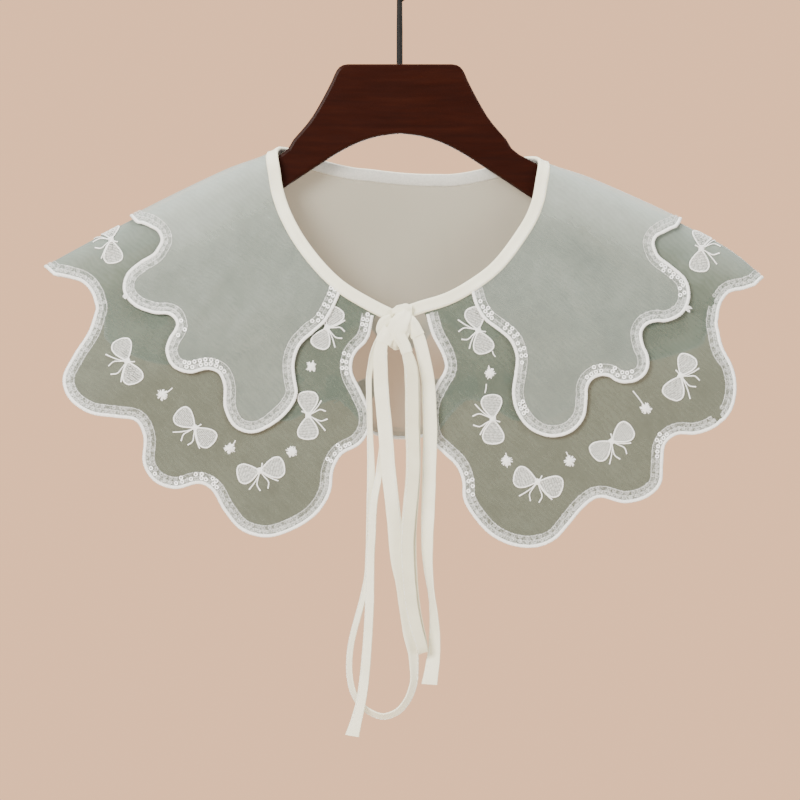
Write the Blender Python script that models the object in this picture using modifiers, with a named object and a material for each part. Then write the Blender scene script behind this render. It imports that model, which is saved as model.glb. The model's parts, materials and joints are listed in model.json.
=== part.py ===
"""A two-tier organza lace collar with tie ribbons, hanging on a wooden hanger.

+Z is up, the collar's front faces -Y and +X is to the viewer's right. The origin is the
inner top of the hanger's hook, where a rail carries it. Tables are in millimetres, and
the meshes are in metres.

The cloth is one curved surface: it hangs over a fold that runs along the shoulders. A
place on it is (x, s), where s is the way down the cloth from that fold, above 0 on the
front and below 0 on the back. Every piece of cloth is drawn in (x, s) and then draped.
"""

import math

import bmesh
import bpy
from mathutils import Quaternion, Vector, geometry
from mathutils.bvhtree import BVHTree

MM = 0.001  # metres in a millimetre
FRONT, TOP, BACK = 1, 0, -1  # the side of the shoulder fold that a row lies on
SHARP_ANGLE = math.radians(40)  # faces that meet at more than this meet in a sharp edge

# ---- the drape ------------------------------------------------------------------------
FOLD_Z = -143.1  # height of the shoulder fold beside the neck
FOLD_X = 83.8  # rounded distance from the middle where that height holds
FOLD_ROUND = 25.0  # rounding of the fold at the middle
FOLD_SLOPE = 0.415  # fall of the shoulder for each mm outward
NECK_SLOPE = 0.2  # further fall close to the neck
NECK_BLEND = 4.0  # length over which that further fall ends
FOLD_CURVE = 0.0006  # rounding of the shoulder towards its tip
NECK_TILT = 1.5  # beside the neck the left side sits higher by this, the right lower
TILT_END = 170.0  # distance from the middle where the two sides are level again
DROOP = 0.009  # further rounding of the right shoulder's tip
DROOP_X = 186.0
FOLD_R = 9.0  # radius of the cloth where it turns over the fold
FLARE = {FRONT: 22.0, BACK: 14.0}  # how far each side stands out at its foot
FLARE_LENGTH = 90.0  # the way down over which it comes out

# Soft folds in both tiers: where each one starts and ends in the front view, how wide
# it is to each side and how far it stands out.
#  side   x_top  z_top   x_end   z_end  width  height
CREASES = (
    (FRONT, -88.0, -172.0, -166.0, -268.0, 17.0, 2.2),
    (FRONT, -74.0, -214.0, -98.0, -352.0, 15.0, -1.6),
    (FRONT, -44.0, -236.0, -46.0, -322.0, 12.0, 1.3),
    (FRONT, 92.0, -176.0, 122.0, -222.0, 9.0, -1.8),
    (FRONT, 84.0, -206.0, 150.0, -316.0, 17.0, 2.0),
    (FRONT, 58.0, -226.0, 74.0, -350.0, 15.0, -1.5),
    (BACK, -62.0, -176.0, -118.0, -268.0, 17.0, 2.0),
    (BACK, -18.0, -176.0, -34.0, -290.0, 15.0, -1.4),
    (BACK, 34.0, -176.0, 52.0, -288.0, 16.0, 1.8),
    (BACK, 74.0, -180.0, 136.0, -258.0, 14.0, -1.6),
)

# ---- the cloth ------------------------------------------------------------------------
WALL = 1.0  # thickness of a tier
RIM_WALL = 1.8  # thickness of its stitched hem
RIM_WIDTH = 4.5
SEAM_GAP = 0.3  # clear space between two pieces
UPPER_LIFT = 2.5  # height of the upper tier's inner face at its hem
UPPER_LIFT_NECK = 1.3  # and at the neck, where the two tiers are sewn together
LIFT_LENGTH = 26.0  # way over which it rises
GRID = 13.0  # spacing of the mesh inside a tier
HEM_STEP = 7.0  # spacing along its edge
FOLD_STEP = 4.0  # and along its edge where it turns over the shoulder
FOLD_NEAR = 2.2  # least distance there from the edge to the mesh inside
FOLD_ROWS = 4  # rows of the mesh on each side of the fold
FINE = 20  # straight bits that a curve between two of its points is measured with

# The neck edge, along the middle of its binding, from the left front end to the right.
# side, x, z in the front view (on the fold itself only x counts)
NECKLINE = (
    (FRONT, -11.0, -233.2),
    (FRONT, -23.2, -226.9),
    (FRONT, -39.7, -216.0),
    (FRONT, -53.8, -201.0),
    (FRONT, -64.4, -185.4),
    (FRONT, -71.7, -169.6),
    (FRONT, -75.3, -154.9),
    (TOP, -75.9, None),
    (BACK, -62.0, -141.6),
    (BACK, -45.0, -147.2),
    (BACK, -23.0, -151.3),
    (BACK, 0.0, -153.8),
    (BACK, 23.0, -154.6),
    (BACK, 46.0, -151.8),
    (BACK, 66.0, -146.0),
    (TOP, 81.7, None),
    (FRONT, 81.1, -160.1),
    (FRONT, 77.0, -174.8),
    (FRONT, 67.6, -190.7),
    (FRONT, 54.4, -207.2),
    (FRONT, 38.8, -218.9),
    (FRONT, 16.8, -228.6),
    (FRONT, 4.5, -232.4),
)
BINDING_WIDTH = 7.5
# The binding's section: places across it, as a share of its width, and heights above the
# cloth's inner face.
BINDING_SECTION = ((-0.5, 1.2), (-0.38, -0.2), (0.38, -0.2), (0.5, 1.2), (0.38, 2.7), (-0.38, 2.7))

# Each tier's hem on the front, x and z in the front view, from the opening to the notch
# before the shoulder.
LOWER_LEFT = (
    *((-17.1, -235.4), (-20.3, -249.0), (-28.3, -258.5), (-29.7, -268.0), (-24.0, -280.2)),
    *((-19.2, -292.0), (-19.8, -303.0), (-25.5, -311.0), (-36.0, -317.0), (-40.6, -325.5)),
    *((-42.4, -338.5), (-49.8, -350.9), (-63.0, -360.2), (-80.0, -365.3), (-95.0, -361.0)),
    *((-105.5, -349.0), (-112.0, -337.8), (-119.0, -333.9), (-133.5, -336.9), (-145.8, -332.4)),
    *((-152.2, -322.0), (-152.0, -306.0), (-156.5, -297.3), (-168.0, -295.2), (-184.0, -292.6)),
    *((-196.0, -283.8), (-199.5, -272.5), (-193.5, -259.0), (-184.5, -244.4), (-180.6, -231.5)),
)
LOWER_RIGHT = (
    *((13.5, -234.8), (16.8, -246.5), (22.6, -257.8), (24.5, -266.0), (19.5, -275.4)),
    *((14.8, -286.0), (13.8, -297.0), (16.8, -309.4), (24.2, -316.7), (31.2, -323.7)),
    *((34.6, -332.0), (35.4, -342.9), (42.0, -354.3), (52.0, -364.5), (65.5, -370.5)),
    *((79.0, -370.9), (89.2, -366.5), (97.5, -357.6), (106.0, -347.6), (114.5, -342.1)),
    *((130.0, -345.2), (143.0, -341.8), (150.9, -334.0), (152.2, -321.0), (153.6, -310.6)),
    *((160.0, -305.4), (172.0, -304.9), (184.0, -300.0), (192.0, -291.5), (195.2, -279.0)),
    *((193.6, -266.5), (187.7, -254.0), (184.9, -240.5)),
)
UPPER_LEFT = (
    *((-36.4, -221.8), (-40.3, -230.5), (-45.8, -239.5), (-53.7, -246.5), (-60.2, -253.4)),
    *((-63.3, -263.2), (-62.6, -272.8), (-61.5, -281.0), (-65.2, -289.3), (-74.6, -298.6)),
    *((-87.9, -304.3), (-99.0, -300.7), (-104.9, -289.5), (-105.3, -276.0), (-108.4, -269.0)),
    *((-115.0, -267.2), (-125.0, -269.4), (-135.0, -265.5), (-138.9, -256.2), (-136.5, -248.6)),
    *((-132.6, -241.5), (-135.6, -236.3), (-146.0, -235.2), (-157.5, -230.5), (-164.0, -222.0)),
    *((-162.6, -211.7), (-155.0, -204.2), (-146.2, -198.6), (-142.5, -191.8)),
)
UPPER_RIGHT = (
    *((39.8, -221.6), (42.2, -229.5), (47.0, -237.5), (55.4, -244.1), (62.5, -250.3)),
    *((66.0, -259.5), (65.2, -269.5), (63.8, -280.5), (66.0, -291.0), (73.5, -301.2)),
    *((86.0, -306.5), (98.0, -304.0), (106.0, -295.5), (108.1, -284.0), (108.9, -275.8)),
    *((113.5, -271.4), (119.5, -271.0), (126.5, -274.8), (137.0, -273.8), (142.9, -267.8)),
    *((143.3, -260.0), (140.2, -252.5), (140.0, -245.0), (145.5, -240.4), (155.0, -239.8)),
    *((164.0, -235.0), (168.3, -225.5), (166.5, -214.8), (158.8, -207.0), (150.0, -199.8)),
    *((147.9, -193.0),),
)
# Then the scallop that turns over each shoulder: its points on the front, which the back
# repeats, and its reach. Then the back hem: the half width and depth of the ellipse that
# its scallops touch, how deep its notches are, and the number of scallops between the
# shoulder and the middle one.
LOWER = {
    "front_left": LOWER_LEFT,
    "front_right": LOWER_RIGHT,
    "shoulder_left": ((-183.0, -222.8), (-188.5, -216.0), (-197.0, -213.0), (-206.0, -211.2)),
    "shoulder_right": ((187.0, -228.8), (192.5, -221.6), (201.0, -219.6), (208.0, -217.0)),
    "reach": (-211.7, 212.3),
    "back": {"half_width": 229.0, "depth": 170.5, "notch": 20.6, "between": 2},
}
UPPER = {
    "front_left": UPPER_LEFT,
    "front_right": UPPER_RIGHT,
    "shoulder_left": ((-144.0, -186.4), (-150.0, -183.0), (-156.5, -181.9)),
    "shoulder_right": ((150.0, -188.4), (155.0, -186.3), (161.0, -184.1)),
    "reach": (-159.8, 163.2),
    "back": {"half_width": 169.0, "depth": 116.4, "notch": 14.7, "between": 3},
}
SCALLOP_SIDE = 0.4  # how far out a scallop's straight sides reach, as a share of its depth
SCALLOP_ANGLES = (180.0, 135.0, 90.0, 45.0, 0.0)  # its points round the half ellipse beyond
BACK_CENTRE_Z = -137.8  # centre of the back hem's ellipses
BACK_BREADTH = 0.72  # breadth of a back scallop, as a share of the way between notches
VIEW_STEP = 4.0  # spacing of the places that a hem's line is carried over to the cloth with

# ---- the embroidered bows on the lower tier -------------------------------------------
BOW_TALL = 0.84  # its height against a plain two-leaf curve
BOW_WAIST = 1.7  # half its width at the middle
BOW_POWER = 1.35  # how fast its two leaves swell
BOW_POINTS = 16
BOW_RINGS = (0.5, 1.0)  # rings of its mesh, as shares of its size
BOW_WALL = 0.6
BOW_FOLD_GAP = 1.0  # its gap to the tier where that turns over the shoulder
# side, x and z of each one, the turn of its length in degrees and half that length
BOWS = (
    (FRONT, -43.2, -245.0, 66.0, 9.8),
    (FRONT, -55.3, -293.6, 88.0, 13.8),
    (FRONT, -83.6, -326.2, 10.0, 14.3),
    (FRONT, -121.7, -301.0, -38.0, 14.3),
    (FRONT, -161.3, -262.5, -66.0, 14.3),
    (FRONT, -171.8, -191.0, -78.0, 12.0),
    (FRONT, 43.4, -244.0, -72.0, 11.5),
    (FRONT, 52.0, -295.9, -90.0, 14.3),
    (FRONT, 79.0, -332.7, -12.0, 14.3),
    (FRONT, 122.3, -308.9, 35.0, 14.3),
    (FRONT, 162.5, -271.0, 62.0, 14.3),
    (FRONT, 175.8, -196.6, 85.0, 12.0),
    (BACK, -152.0, -230.0, -52.0, 14.3),
    (BACK, -93.0, -263.0, -24.0, 14.3),
    (BACK, -31.0, -277.0, -6.0, 14.3),
    (BACK, 31.0, -277.0, 6.0, 14.3),
    (BACK, 93.0, -263.0, 24.0, 14.3),
    (BACK, 152.0, -230.0, 52.0, 14.3),
)

# ---- the ties -------------------------------------------------------------------------
TAPE_THICK = 1.0
TAPE_STEP = 8.0  # greatest spacing of the mesh along a tape
KNOT_X, KNOT_Y = -4.2, -34.2
# The knot's outline: height, half width, half depth and the shift of its middle
KNOT_RINGS = (
    (-230.6, 2.2, 2.6, 0.6),
    (-232.2, 5.0, 5.0, 0.4),
    (-236.0, 7.2, 6.2, 0.0),
    (-240.5, 8.8, 6.8, 0.0),
    (-245.5, 8.6, 6.8, 0.0),
    (-250.0, 6.4, 5.8, 0.2),
    (-254.6, 2.4, 3.2, 0.6),
)
KNOT_SIDES = 14
# The route of each tape: x, y, z, the turn of its face in degrees and its width, which is
# less where the soft tape gathers
TAIL_LEFT = (
    (-11.4, -38.5, -256.6, 0.0, 5.0),
    (-12.6, -38.4, -263.0, 0.0, 6.0),
    (-12.8, -38.3, -273.0, 0.0, 6.4),
    (-12.2, -38.3, -288.0, 0.0, 5.6),
    (-10.9, -38.3, -302.0, 0.0, 5.0),
    (-11.8, -38.3, -314.0, 0.0, 4.6),
    (-12.8, -38.2, -320.0, 4.0, 4.4),
    (-14.4, -38.2, -330.4, 14.0, 4.0),
    (-15.8, -38.8, -337.4, 25.0, 4.4),
    (-16.9, -39.9, -343.6, 34.0, 4.8),
    (-17.7, -40.2, -352.0, 34.0, 5.0),
    (-18.1, -40.4, -360.7, 34.0, 5.3),
    (-19.1, -40.6, -378.0, 34.0, 5.6),
    (-19.5, -40.9, -401.6, 34.0, 6.0),
    (-20.0, -41.3, -413.5, 34.0, 6.0),
    (-20.7, -41.8, -425.0, 32.0, 6.0),
    (-22.1, -42.4, -442.5, 28.0, 6.2),
    (-24.4, -42.8, -460.0, 24.0, 6.2),
    (-27.2, -42.8, -471.7, 18.0, 6.8),
    (-29.7, -42.8, -480.8, 12.0, 7.4),
)
LOOP_LEFT = (
    (-13.8, -36.6, -249.6, 0.0, 4.4),
    (-15.6, -36.4, -252.9, 0.0, 4.2),
    (-17.7, -36.2, -258.6, 0.0, 3.8),
    (-18.9, -36.0, -264.4, 0.0, 3.5),
    (-19.9, -35.9, -271.0, 0.0, 3.4),
    (-19.7, -35.9, -289.0, 0.0, 3.4),
    (-19.4, -35.9, -302.3, 0.0, 3.5),
    (-18.7, -35.9, -326.0, 0.0, 4.6),
    (-18.9, -35.9, -343.0, 0.0, 4.8),
    (-19.3, -35.9, -360.7, 0.0, 4.6),
    (-19.9, -35.9, -378.2, 0.0, 4.4),
    (-20.6, -35.9, -387.4, 8.0, 4.2),
    (-23.7, -36.2, -401.8, 28.0, 4.0),
    (-27.7, -36.6, -416.2, 46.0, 4.8),
    (-29.9, -36.9, -425.0, 52.0, 5.2),
    (-31.2, -37.1, -433.7, 54.0, 5.4),
    (-31.5, -37.3, -441.4, 55.0, 5.6),
    (-29.6, -37.5, -454.2, 57.0, 6.0),
    (-24.2, -37.7, -463.5, 57.0, 6.0),
    (-15.5, -37.8, -469.0, 57.0, 6.4),
    (-11.1, -37.8, -469.8, 57.0, 6.6),
    (-2.9, -37.8, -466.7, 57.0, 6.6),
    (3.3, -37.8, -458.8, 54.0, 6.6),
    (6.5, -37.8, -448.3, 50.0, 6.6),
    (6.5, -37.7, -441.3, 44.0, 6.8),
    (6.1, -37.6, -433.7, 34.0, 7.0),
    (4.1, -37.6, -422.4, 12.0, 7.8),
    (1.2, -37.6, -401.6, 0.0, 8.2),
    (-0.5, -37.6, -389.9, 0.0, 8.4),
    (-3.0, -37.6, -378.6, 0.0, 8.4),
    (-4.7, -37.9, -360.7, 0.0, 8.4),
    (-5.8, -38.6, -349.0, 0.0, 8.4),
    (-8.5, -40.2, -325.7, 0.0, 8.4),
    (-10.4, -40.8, -302.3, 0.0, 8.4),
    (-12.6, -41.0, -279.0, 0.0, 8.4),
    (-13.1, -41.1, -267.3, 0.0, 8.4),
    (-13.3, -41.4, -259.0, 0.0, 8.2),
    (-12.8, -41.7, -253.4, 0.0, 7.6),
    (-11.8, -41.9, -249.6, 0.0, 6.6),
)
LOOP_RIGHT = (
    (-1.4, -42.2, -248.6, 0.0, 3.6),
    (0.9, -42.7, -252.7, 0.0, 4.6),
    (2.1, -43.0, -256.8, 0.0, 6.0),
    (3.4, -43.3, -261.4, 0.0, 7.0),
    (4.4, -43.5, -265.6, 0.0, 7.6),
    (5.0, -43.6, -273.1, 0.0, 8.0),
    (5.2, -43.6, -284.8, 0.0, 8.0),
    (5.3, -43.6, -302.3, 0.0, 8.0),
    (5.7, -43.6, -314.0, 0.0, 8.0),
    (5.7, -43.6, -325.7, 0.0, 8.0),
    (4.9, -43.6, -337.4, 0.0, 8.0),
    (3.7, -43.6, -349.0, 0.0, 8.0),
    (2.6, -43.6, -360.7, 0.0, 8.0),
    (2.2, -43.6, -372.4, 0.0, 8.0),
    (2.7, -43.6, -384.1, 0.0, 8.0),
    (3.6, -43.6, -395.8, 0.0, 8.0),
    (5.1, -43.6, -407.4, 0.0, 7.8),
    (7.7, -43.6, -418.6, 0.0, 7.4),
    (10.1, -43.6, -426.6, 0.0, 6.8),
    (11.2, -43.2, -430.6, 0.0, 6.4),
    (11.5, -42.0, -432.2, 0.0, 6.4),
    (11.6, -40.8, -430.6, 0.0, 6.4),
    (11.0, -40.1, -426.2, 0.0, 6.8),
    (8.9, -40.0, -418.0, 0.0, 7.4),
    (6.7, -40.0, -407.4, 0.0, 7.8),
    (5.3, -40.0, -395.8, 0.0, 8.0),
    (4.5, -40.0, -384.1, 0.0, 8.0),
    (4.1, -40.0, -372.4, 0.0, 8.0),
    (4.2, -40.0, -360.7, 0.0, 8.0),
    (5.0, -40.1, -349.0, 0.0, 8.0),
    (6.0, -40.1, -337.4, 0.0, 8.0),
    (6.6, -40.2, -325.7, 0.0, 8.0),
    (6.6, -40.3, -314.0, 0.0, 8.0),
    (6.3, -40.4, -302.3, 0.0, 8.0),
    (6.3, -40.4, -284.8, 0.0, 8.0),
    (6.0, -40.4, -273.1, 0.0, 8.0),
    (5.0, -40.2, -265.0, 0.0, 7.2),
    (3.4, -39.4, -259.0, 0.0, 6.0),
)
TAIL_RIGHT = (
    (5.8, -38.4, -242.6, -8.0, 6.6),
    (8.5, -38.6, -246.8, -4.0, 7.2),
    (10.4, -38.5, -253.0, 0.0, 7.6),
    (11.9, -38.3, -259.6, 0.0, 7.8),
    (13.1, -38.0, -265.6, 0.0, 7.8),
    (14.5, -37.7, -273.6, 0.0, 8.0),
    (15.1, -37.4, -284.8, 0.0, 8.4),
    (15.8, -37.2, -302.3, 0.0, 8.4),
    (15.4, -37.2, -320.0, 0.0, 8.2),
    (14.8, -37.2, -343.2, 0.0, 8.0),
    (14.2, -37.2, -360.7, 12.0, 7.6),
    (14.1, -37.2, -372.0, 30.0, 7.6),
    (14.7, -37.1, -383.0, 48.0, 7.6),
    (16.0, -36.9, -393.8, 62.0, 7.6),
    (17.1, -36.8, -401.6, 64.0, 7.6),
    (18.0, -36.7, -410.4, 54.0, 7.6),
    (18.4, -36.7, -419.0, 42.0, 7.8),
    (18.2, -36.8, -430.8, 26.0, 8.0),
    (17.2, -37.1, -440.0, 10.0, 8.2),
    (15.4, -37.6, -451.0, 0.0, 8.4),
)

# ---- the hanger -----------------------------------------------------------------------
BOARD_THICK = 10.0
BOARD_BEVEL = 1.8
BOARD_CLEAR = 1.5  # between the board's top edge and the cloth above it
BOARD_TIP_X = 180.0
BOARD_TIP_TALL = 16.0
BOARD_STEP = 6.0  # spacing of the mesh along the board's edge
BOARD_END = 8.0  # length of the rounded end of each arm
BOARD_END_DROP = 3.0  # how far its point lies below the middle of the arm
ARM_ROWS = 8  # rows of the arm's outline under the cloth
# The board's rounded upper corner, then its edge on to where the cloth covers it: distance
# from its middle, and z
BOARD_CORNER = ((30.7, -86.4), (33.6, -86.9), (35.8, -88.2), (37.4, -90.2), (38.7, -92.8))
BOARD_UPPER = (
    (40.0, -96.0),
    (43.0, -102.0),
    (46.1, -107.8),
    (49.5, -113.8),
    (53.2, -119.6),
    (58.2, -125.6),
    (62.8, -130.8),
    (67.0, -137.4),
)
# and its lower edge, an arch at the middle
BOARD_LOWER = (
    (0.0, -127.3),
    (11.8, -128.7),
    (23.6, -132.2),
    (35.4, -138.0),
    (47.2, -145.4),
    (59.0, -153.1),
    (70.8, -160.9),
    (76.6, -164.7),
)
BOARD_X = -1.8  # the board's middle
HOOK_WIRE = 3.6
HOOK_X = -2.0  # the shank stands a little left of the hook's middle
HOOK_INNER = 20.0  # radius of the space inside the hook
HOOK_STRAIGHT = -48.6  # height up to which the shank is straight
HOOK_START, HOOK_END = -68.0, 206.0  # angles where the round of the hook begins and ends
HOOK_STEP = 12.0  # degrees between its points

COLOURS = {
    "organza": ((0.74, 0.78, 0.77), 0.55, 0.0),
    "white_tape": ((0.86, 0.86, 0.83), 0.7, 0.0),
    "white_thread": ((0.92, 0.92, 0.92), 0.5, 0.0),
    "dark_wood": ((0.04, 0.010, 0.004), 0.3, 0.0),
    "black_wire": ((0.02, 0.02, 0.02), 0.35, 0.6),
}


# ---- the drape ------------------------------------------------------------------------
def smooth(t):
    """0 below 0, 1 above 1, and a soft S between them."""
    t = min(1.0, max(0.0, t))
    return t * t * (3.0 - 2.0 * t)


def fold_height(x):
    """The height of the shoulder fold."""
    away = math.sqrt(x * x + FOLD_ROUND * FOLD_ROUND)
    out = away - FOLD_X
    near = NECK_BLEND * math.log1p(math.exp(-out / NECK_BLEND))
    curved = FOLD_CURVE * max(0.0, out) ** 2 + DROOP * max(0.0, x - DROOP_X) ** 2
    level = smooth(out / (TILT_END - FOLD_X))
    lean = max(-1.0, min(1.0, x / FOLD_X))
    tilt = NECK_TILT * lean * (1.5 - 0.5 * lean * lean) * (1.0 - level)
    return FOLD_Z - FOLD_SLOPE * out - curved + NECK_SLOPE * near - tilt


def fold_stretch(x):
    """How much longer the shoulder's slope makes a way straight down."""
    slope = (fold_height(x + 0.5) - fold_height(x - 0.5)) / 1.0
    return math.sqrt(1.0 + slope * slope)


def on_cloth(side, x, z):
    """The cloth's (x, s) at a place given in the front view."""
    if side == TOP:
        return (x, 0.0)
    down = max(0.0, (fold_height(x) - z) / fold_stretch(x))
    if down < FOLD_R:
        way = FOLD_R * math.acos(1.0 - down / FOLD_R)
    else:
        way = FOLD_R * math.pi / 2 + down - FOLD_R
    return (x, side * way)


def crease_height(side, x, z):
    """How far the soft folds move the cloth out at a place in the front view."""
    total = 0.0
    for row_side, x_top, z_top, x_end, z_end, width, height in CREASES:
        if row_side != side:
            continue
        run_x, run_z = x_end - x_top, z_end - z_top
        along = ((x - x_top) * run_x + (z - z_top) * run_z) / (run_x**2 + run_z**2)
        near = min(1.0, max(0.0, along))
        off = math.hypot(x - x_top - near * run_x, z - z_top - near * run_z)
        total += height * smooth(along * 1.6) * math.exp(-((off / width) ** 2))
    return total


def skin(x, s):
    """The cloth's inner face at (x, s)."""
    side = FRONT if s >= 0.0 else BACK
    way, quarter = abs(s), FOLD_R * math.pi / 2
    if way < quarter:
        down, out = FOLD_R * (1.0 - math.cos(way / FOLD_R)), FOLD_R * math.sin(way / FOLD_R)
    else:
        down = FOLD_R + way - quarter
        out = FOLD_R + FLARE[side] * smooth((down - FOLD_R) / FLARE_LENGTH)
    z = fold_height(x) - down * fold_stretch(x)
    out += crease_height(side, x, z)
    return Vector((x, -side * out, z))


def ways(x, s):
    """The cloth's two directions at (x, s), along x and along s, for each mm of them."""
    e = 0.5
    return skin(x + e, s) - skin(x - e, s), skin(x, s + e) - skin(x, s - e)


def drape(x, s, lift=0.0):
    """A point of the cloth, lift mm outside its inner face."""
    along, down = ways(x, s)
    return skin(x, s) + down.cross(along).normalized() * lift


def step_on(x, s, wanted):
    """The change of (x, s) that moves a point of the cloth by wanted, a vector along it."""
    along, down = ways(x, s)
    a, b, c = along.dot(along), along.dot(down), down.dot(down)
    p, q = wanted.dot(along), wanted.dot(down)
    return Vector(((p * c - q * b), (q * a - p * b))) / (a * c - b * b)


# ---- curves in the plane --------------------------------------------------------------
def bend(a, b, c, d, t):
    """The point at t on a smooth curve from b to c that a comes before and d follows."""
    ab, bc, cd = (max(1e-6, (q - p).length) ** 0.5 for p, q in ((a, b), (b, c), (c, d)))
    leave = ((b - a) / ab - (c - a) / (ab + bc) + (c - b) / bc) * bc
    reach = ((c - b) / bc - (d - b) / (bc + cd) + (d - c) / cd) * bc
    return (
        b * (2 * t**3 - 3 * t**2 + 1)
        + leave * (t**3 - 2 * t**2 + t)
        + c * (3 * t**2 - 2 * t**3)
        + reach * (t**3 - t**2)
    )


def open_ended(points):
    """The points as vectors, with one more straight on past each end."""
    knots = [Vector(p) for p in points]
    return [2 * knots[0] - knots[1], *knots, 2 * knots[-1] - knots[-2]]


def spline(points, step_of):
    """Points on a smooth curve through all the points given, step_of(place) apart."""
    knots = open_ended(points)
    fine = [
        bend(*four, k / FINE)
        for four in zip(knots, knots[1:], knots[2:], knots[3:])
        for k in range(FINE)
    ]
    fine.append(knots[-2])
    steps = [(q - p).length / step_of((p + q) / 2) for p, q in zip(fine, fine[1:])]
    count = max(2, round(sum(steps)))
    unit, out, gone = sum(steps) / count, [], 0.0
    for p, q, part in zip(fine, fine[1:], steps):
        while len(out) < count and len(out) * unit <= gone + part:
            out.append(p.lerp(q, (len(out) * unit - gone) / part))
        gone += part
    return [*out, fine[-1]]


def sideways(points, distance):
    """Places on the cloth moved that far over it, to the left of the way they run."""
    moved = []
    for i, p in enumerate(points):
        way = points[min(i + 1, len(points) - 1)] - points[max(i - 1, 0)]
        along, down = ways(p.x, p.y)
        ahead = (along * way.x + down * way.y).normalized()
        left = down * way.x - along * way.y
        left = (left - ahead * left.dot(ahead)).normalized()
        moved.append(p + step_on(p.x, p.y, left * distance))
    return moved


def inside(point, polygon):
    """Whether a point of the plane lies inside a closed outline."""
    odd = False
    for a, b in zip(polygon, [*polygon[1:], polygon[0]]):
        if (a.y > point.y) != (b.y > point.y):
            if point.x < a.x + (point.y - a.y) / (b.y - a.y) * (b.x - a.x):
                odd = not odd
    return odd


# ---- outlines of the tiers ------------------------------------------------------------
def edge_step(point):
    """Spacing along an edge, closer where it turns over the shoulder."""
    return FOLD_STEP if abs(point.y) < FOLD_R * 1.9 else HEM_STEP


def neck_curve():
    """The binding's middle line on the cloth, from the left front end to the right."""
    return spline([on_cloth(*row) for row in NECKLINE], edge_step)


def scallop(notch, crest, end, breadth):
    """A scallop's points after its notch: half an ellipse on two short sides."""
    notch, crest, end = Vector(notch), Vector(crest), Vector(end)
    middle, chord = (notch + end) / 2, (end - notch).normalized()
    points = []
    for angle in SCALLOP_ANGLES:
        out = SCALLOP_SIDE + (1.0 - SCALLOP_SIDE) * math.sin(math.radians(angle))
        across = math.cos(math.radians(angle)) * breadth / 2
        points.append(middle + (crest - middle) * out + chord * across)
    return points


def in_view(side, rows):
    """Places on the cloth along a smooth line through places given in the front view."""
    line = spline([Vector(row) for row in rows], lambda _: VIEW_STEP)
    return [Vector(on_cloth(side, p.x, p.y)) for p in line]


def back_hem(shape, reach, left_notch, right_notch):
    """The hem's places on the back, between its notches at the two shoulders."""
    wide, deep = shape["half_width"], shape["depth"]
    first = math.acos(reach / wide)
    spaces = 2 * (shape["between"] + 1)
    step = (math.pi - 2 * first) / spaces

    def at(angle, shallower):
        x = -(wide - shallower * wide / deep) * math.cos(angle)
        return Vector((x, BACK_CENTRE_Z - (deep - shallower) * math.sin(angle)))

    inner = [at(first + step * (k + 0.5), shape["notch"]) for k in range(1, spaces - 1)]
    notches = [Vector(left_notch), *inner, Vector(right_notch)]
    rows = []
    for k, (notch, end) in enumerate(zip(notches, notches[1:])):
        rows.append(notch)
        crest = at(first + step * (k + 1), 0.0)
        rows += scallop(notch, crest, end, BACK_BREADTH * (end - notch).length)
    return in_view(BACK, [*rows, notches[-1]])


def over_shoulder(notch, rows, reach):
    """The scallop that turns over a shoulder, from after its front notch to its back one."""
    front = in_view(FRONT, [notch, *rows])
    return [*front[1:], Vector((reach, 0.0)), *[Vector((p.x, -p.y)) for p in reversed(front)]]


def hem_points(tier):
    """Places all along a tier's hem on the cloth, from the left front edge to the right."""
    left, right = tier["front_left"], tier["front_right"]
    left_reach, right_reach = tier["reach"]
    turn = over_shoulder(left[-1], tier["shoulder_left"], left_reach)
    end = over_shoulder(right[-1], tier["shoulder_right"], right_reach)
    back = back_hem(tier["back"], (right_reach - left_reach) / 2, left[-1], right[-1])
    return [
        *in_view(FRONT, left),
        *turn,
        *back[1:-1],
        *reversed(end),
        *reversed(in_view(FRONT, right)),
    ]


def tier_outline(tier):
    """A tier's hem and its neck edge on the cloth, as two open curves."""
    hem = spline(hem_points(tier), edge_step)
    edge = sideways(neck_curve(), -BINDING_WIDTH / 2 - SEAM_GAP)
    near_left = min(range(len(edge)), key=lambda i: (edge[i] - hem[0]).length)
    near_right = min(range(len(edge)), key=lambda i: (edge[i] - hem[-1]).length)
    return hem[1:-1], edge[near_left : near_right + 1]


# ---- meshes ---------------------------------------------------------------------------
def material(name):
    """The Principled material of that name."""
    found = bpy.data.materials.get(name)
    if found:
        return found
    colour, rough, metallic = COLOURS[name]
    made = bpy.data.materials.new(name)
    made.use_nodes = True
    shader = made.node_tree.nodes["Principled BSDF"]
    shader.inputs["Base Color"].default_value = (*colour, 1.0)
    shader.inputs["Roughness"].default_value = rough
    shader.inputs["Metallic"].default_value = metallic
    return made


def place(name, data, slot):
    """An object of the collar's collection, with its material."""
    made = bpy.data.objects.new(name, data)
    parts.objects.link(made)
    data.materials.append(material(slot))
    return made


def solid(name, points, faces, slot):
    """A mesh object from points in millimetres, its faces turned outward."""
    mesh = bpy.data.meshes.new(name)
    mesh.from_pydata([Vector(p) * MM for p in points], [], faces)
    mesh.shade_smooth()
    mesh.set_sharp_from_angle(angle=SHARP_ANGLE)
    return place(name, mesh, slot)


def closed_tube(rings):
    """Faces that join closed rings of equal size one after another, with both ends."""
    count, sides = len(rings), len(rings[0])
    points = [p for ring in rings for p in ring]
    faces = []
    for i in range(count - 1):
        for k in range(sides):
            a, b = i * sides + k, i * sides + (k + 1) % sides
            faces.append((a, b, b + sides, a + sides))
    faces.append(tuple(reversed(range(sides))))
    faces.append(tuple((count - 1) * sides + k for k in range(sides)))
    return points, faces


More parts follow.
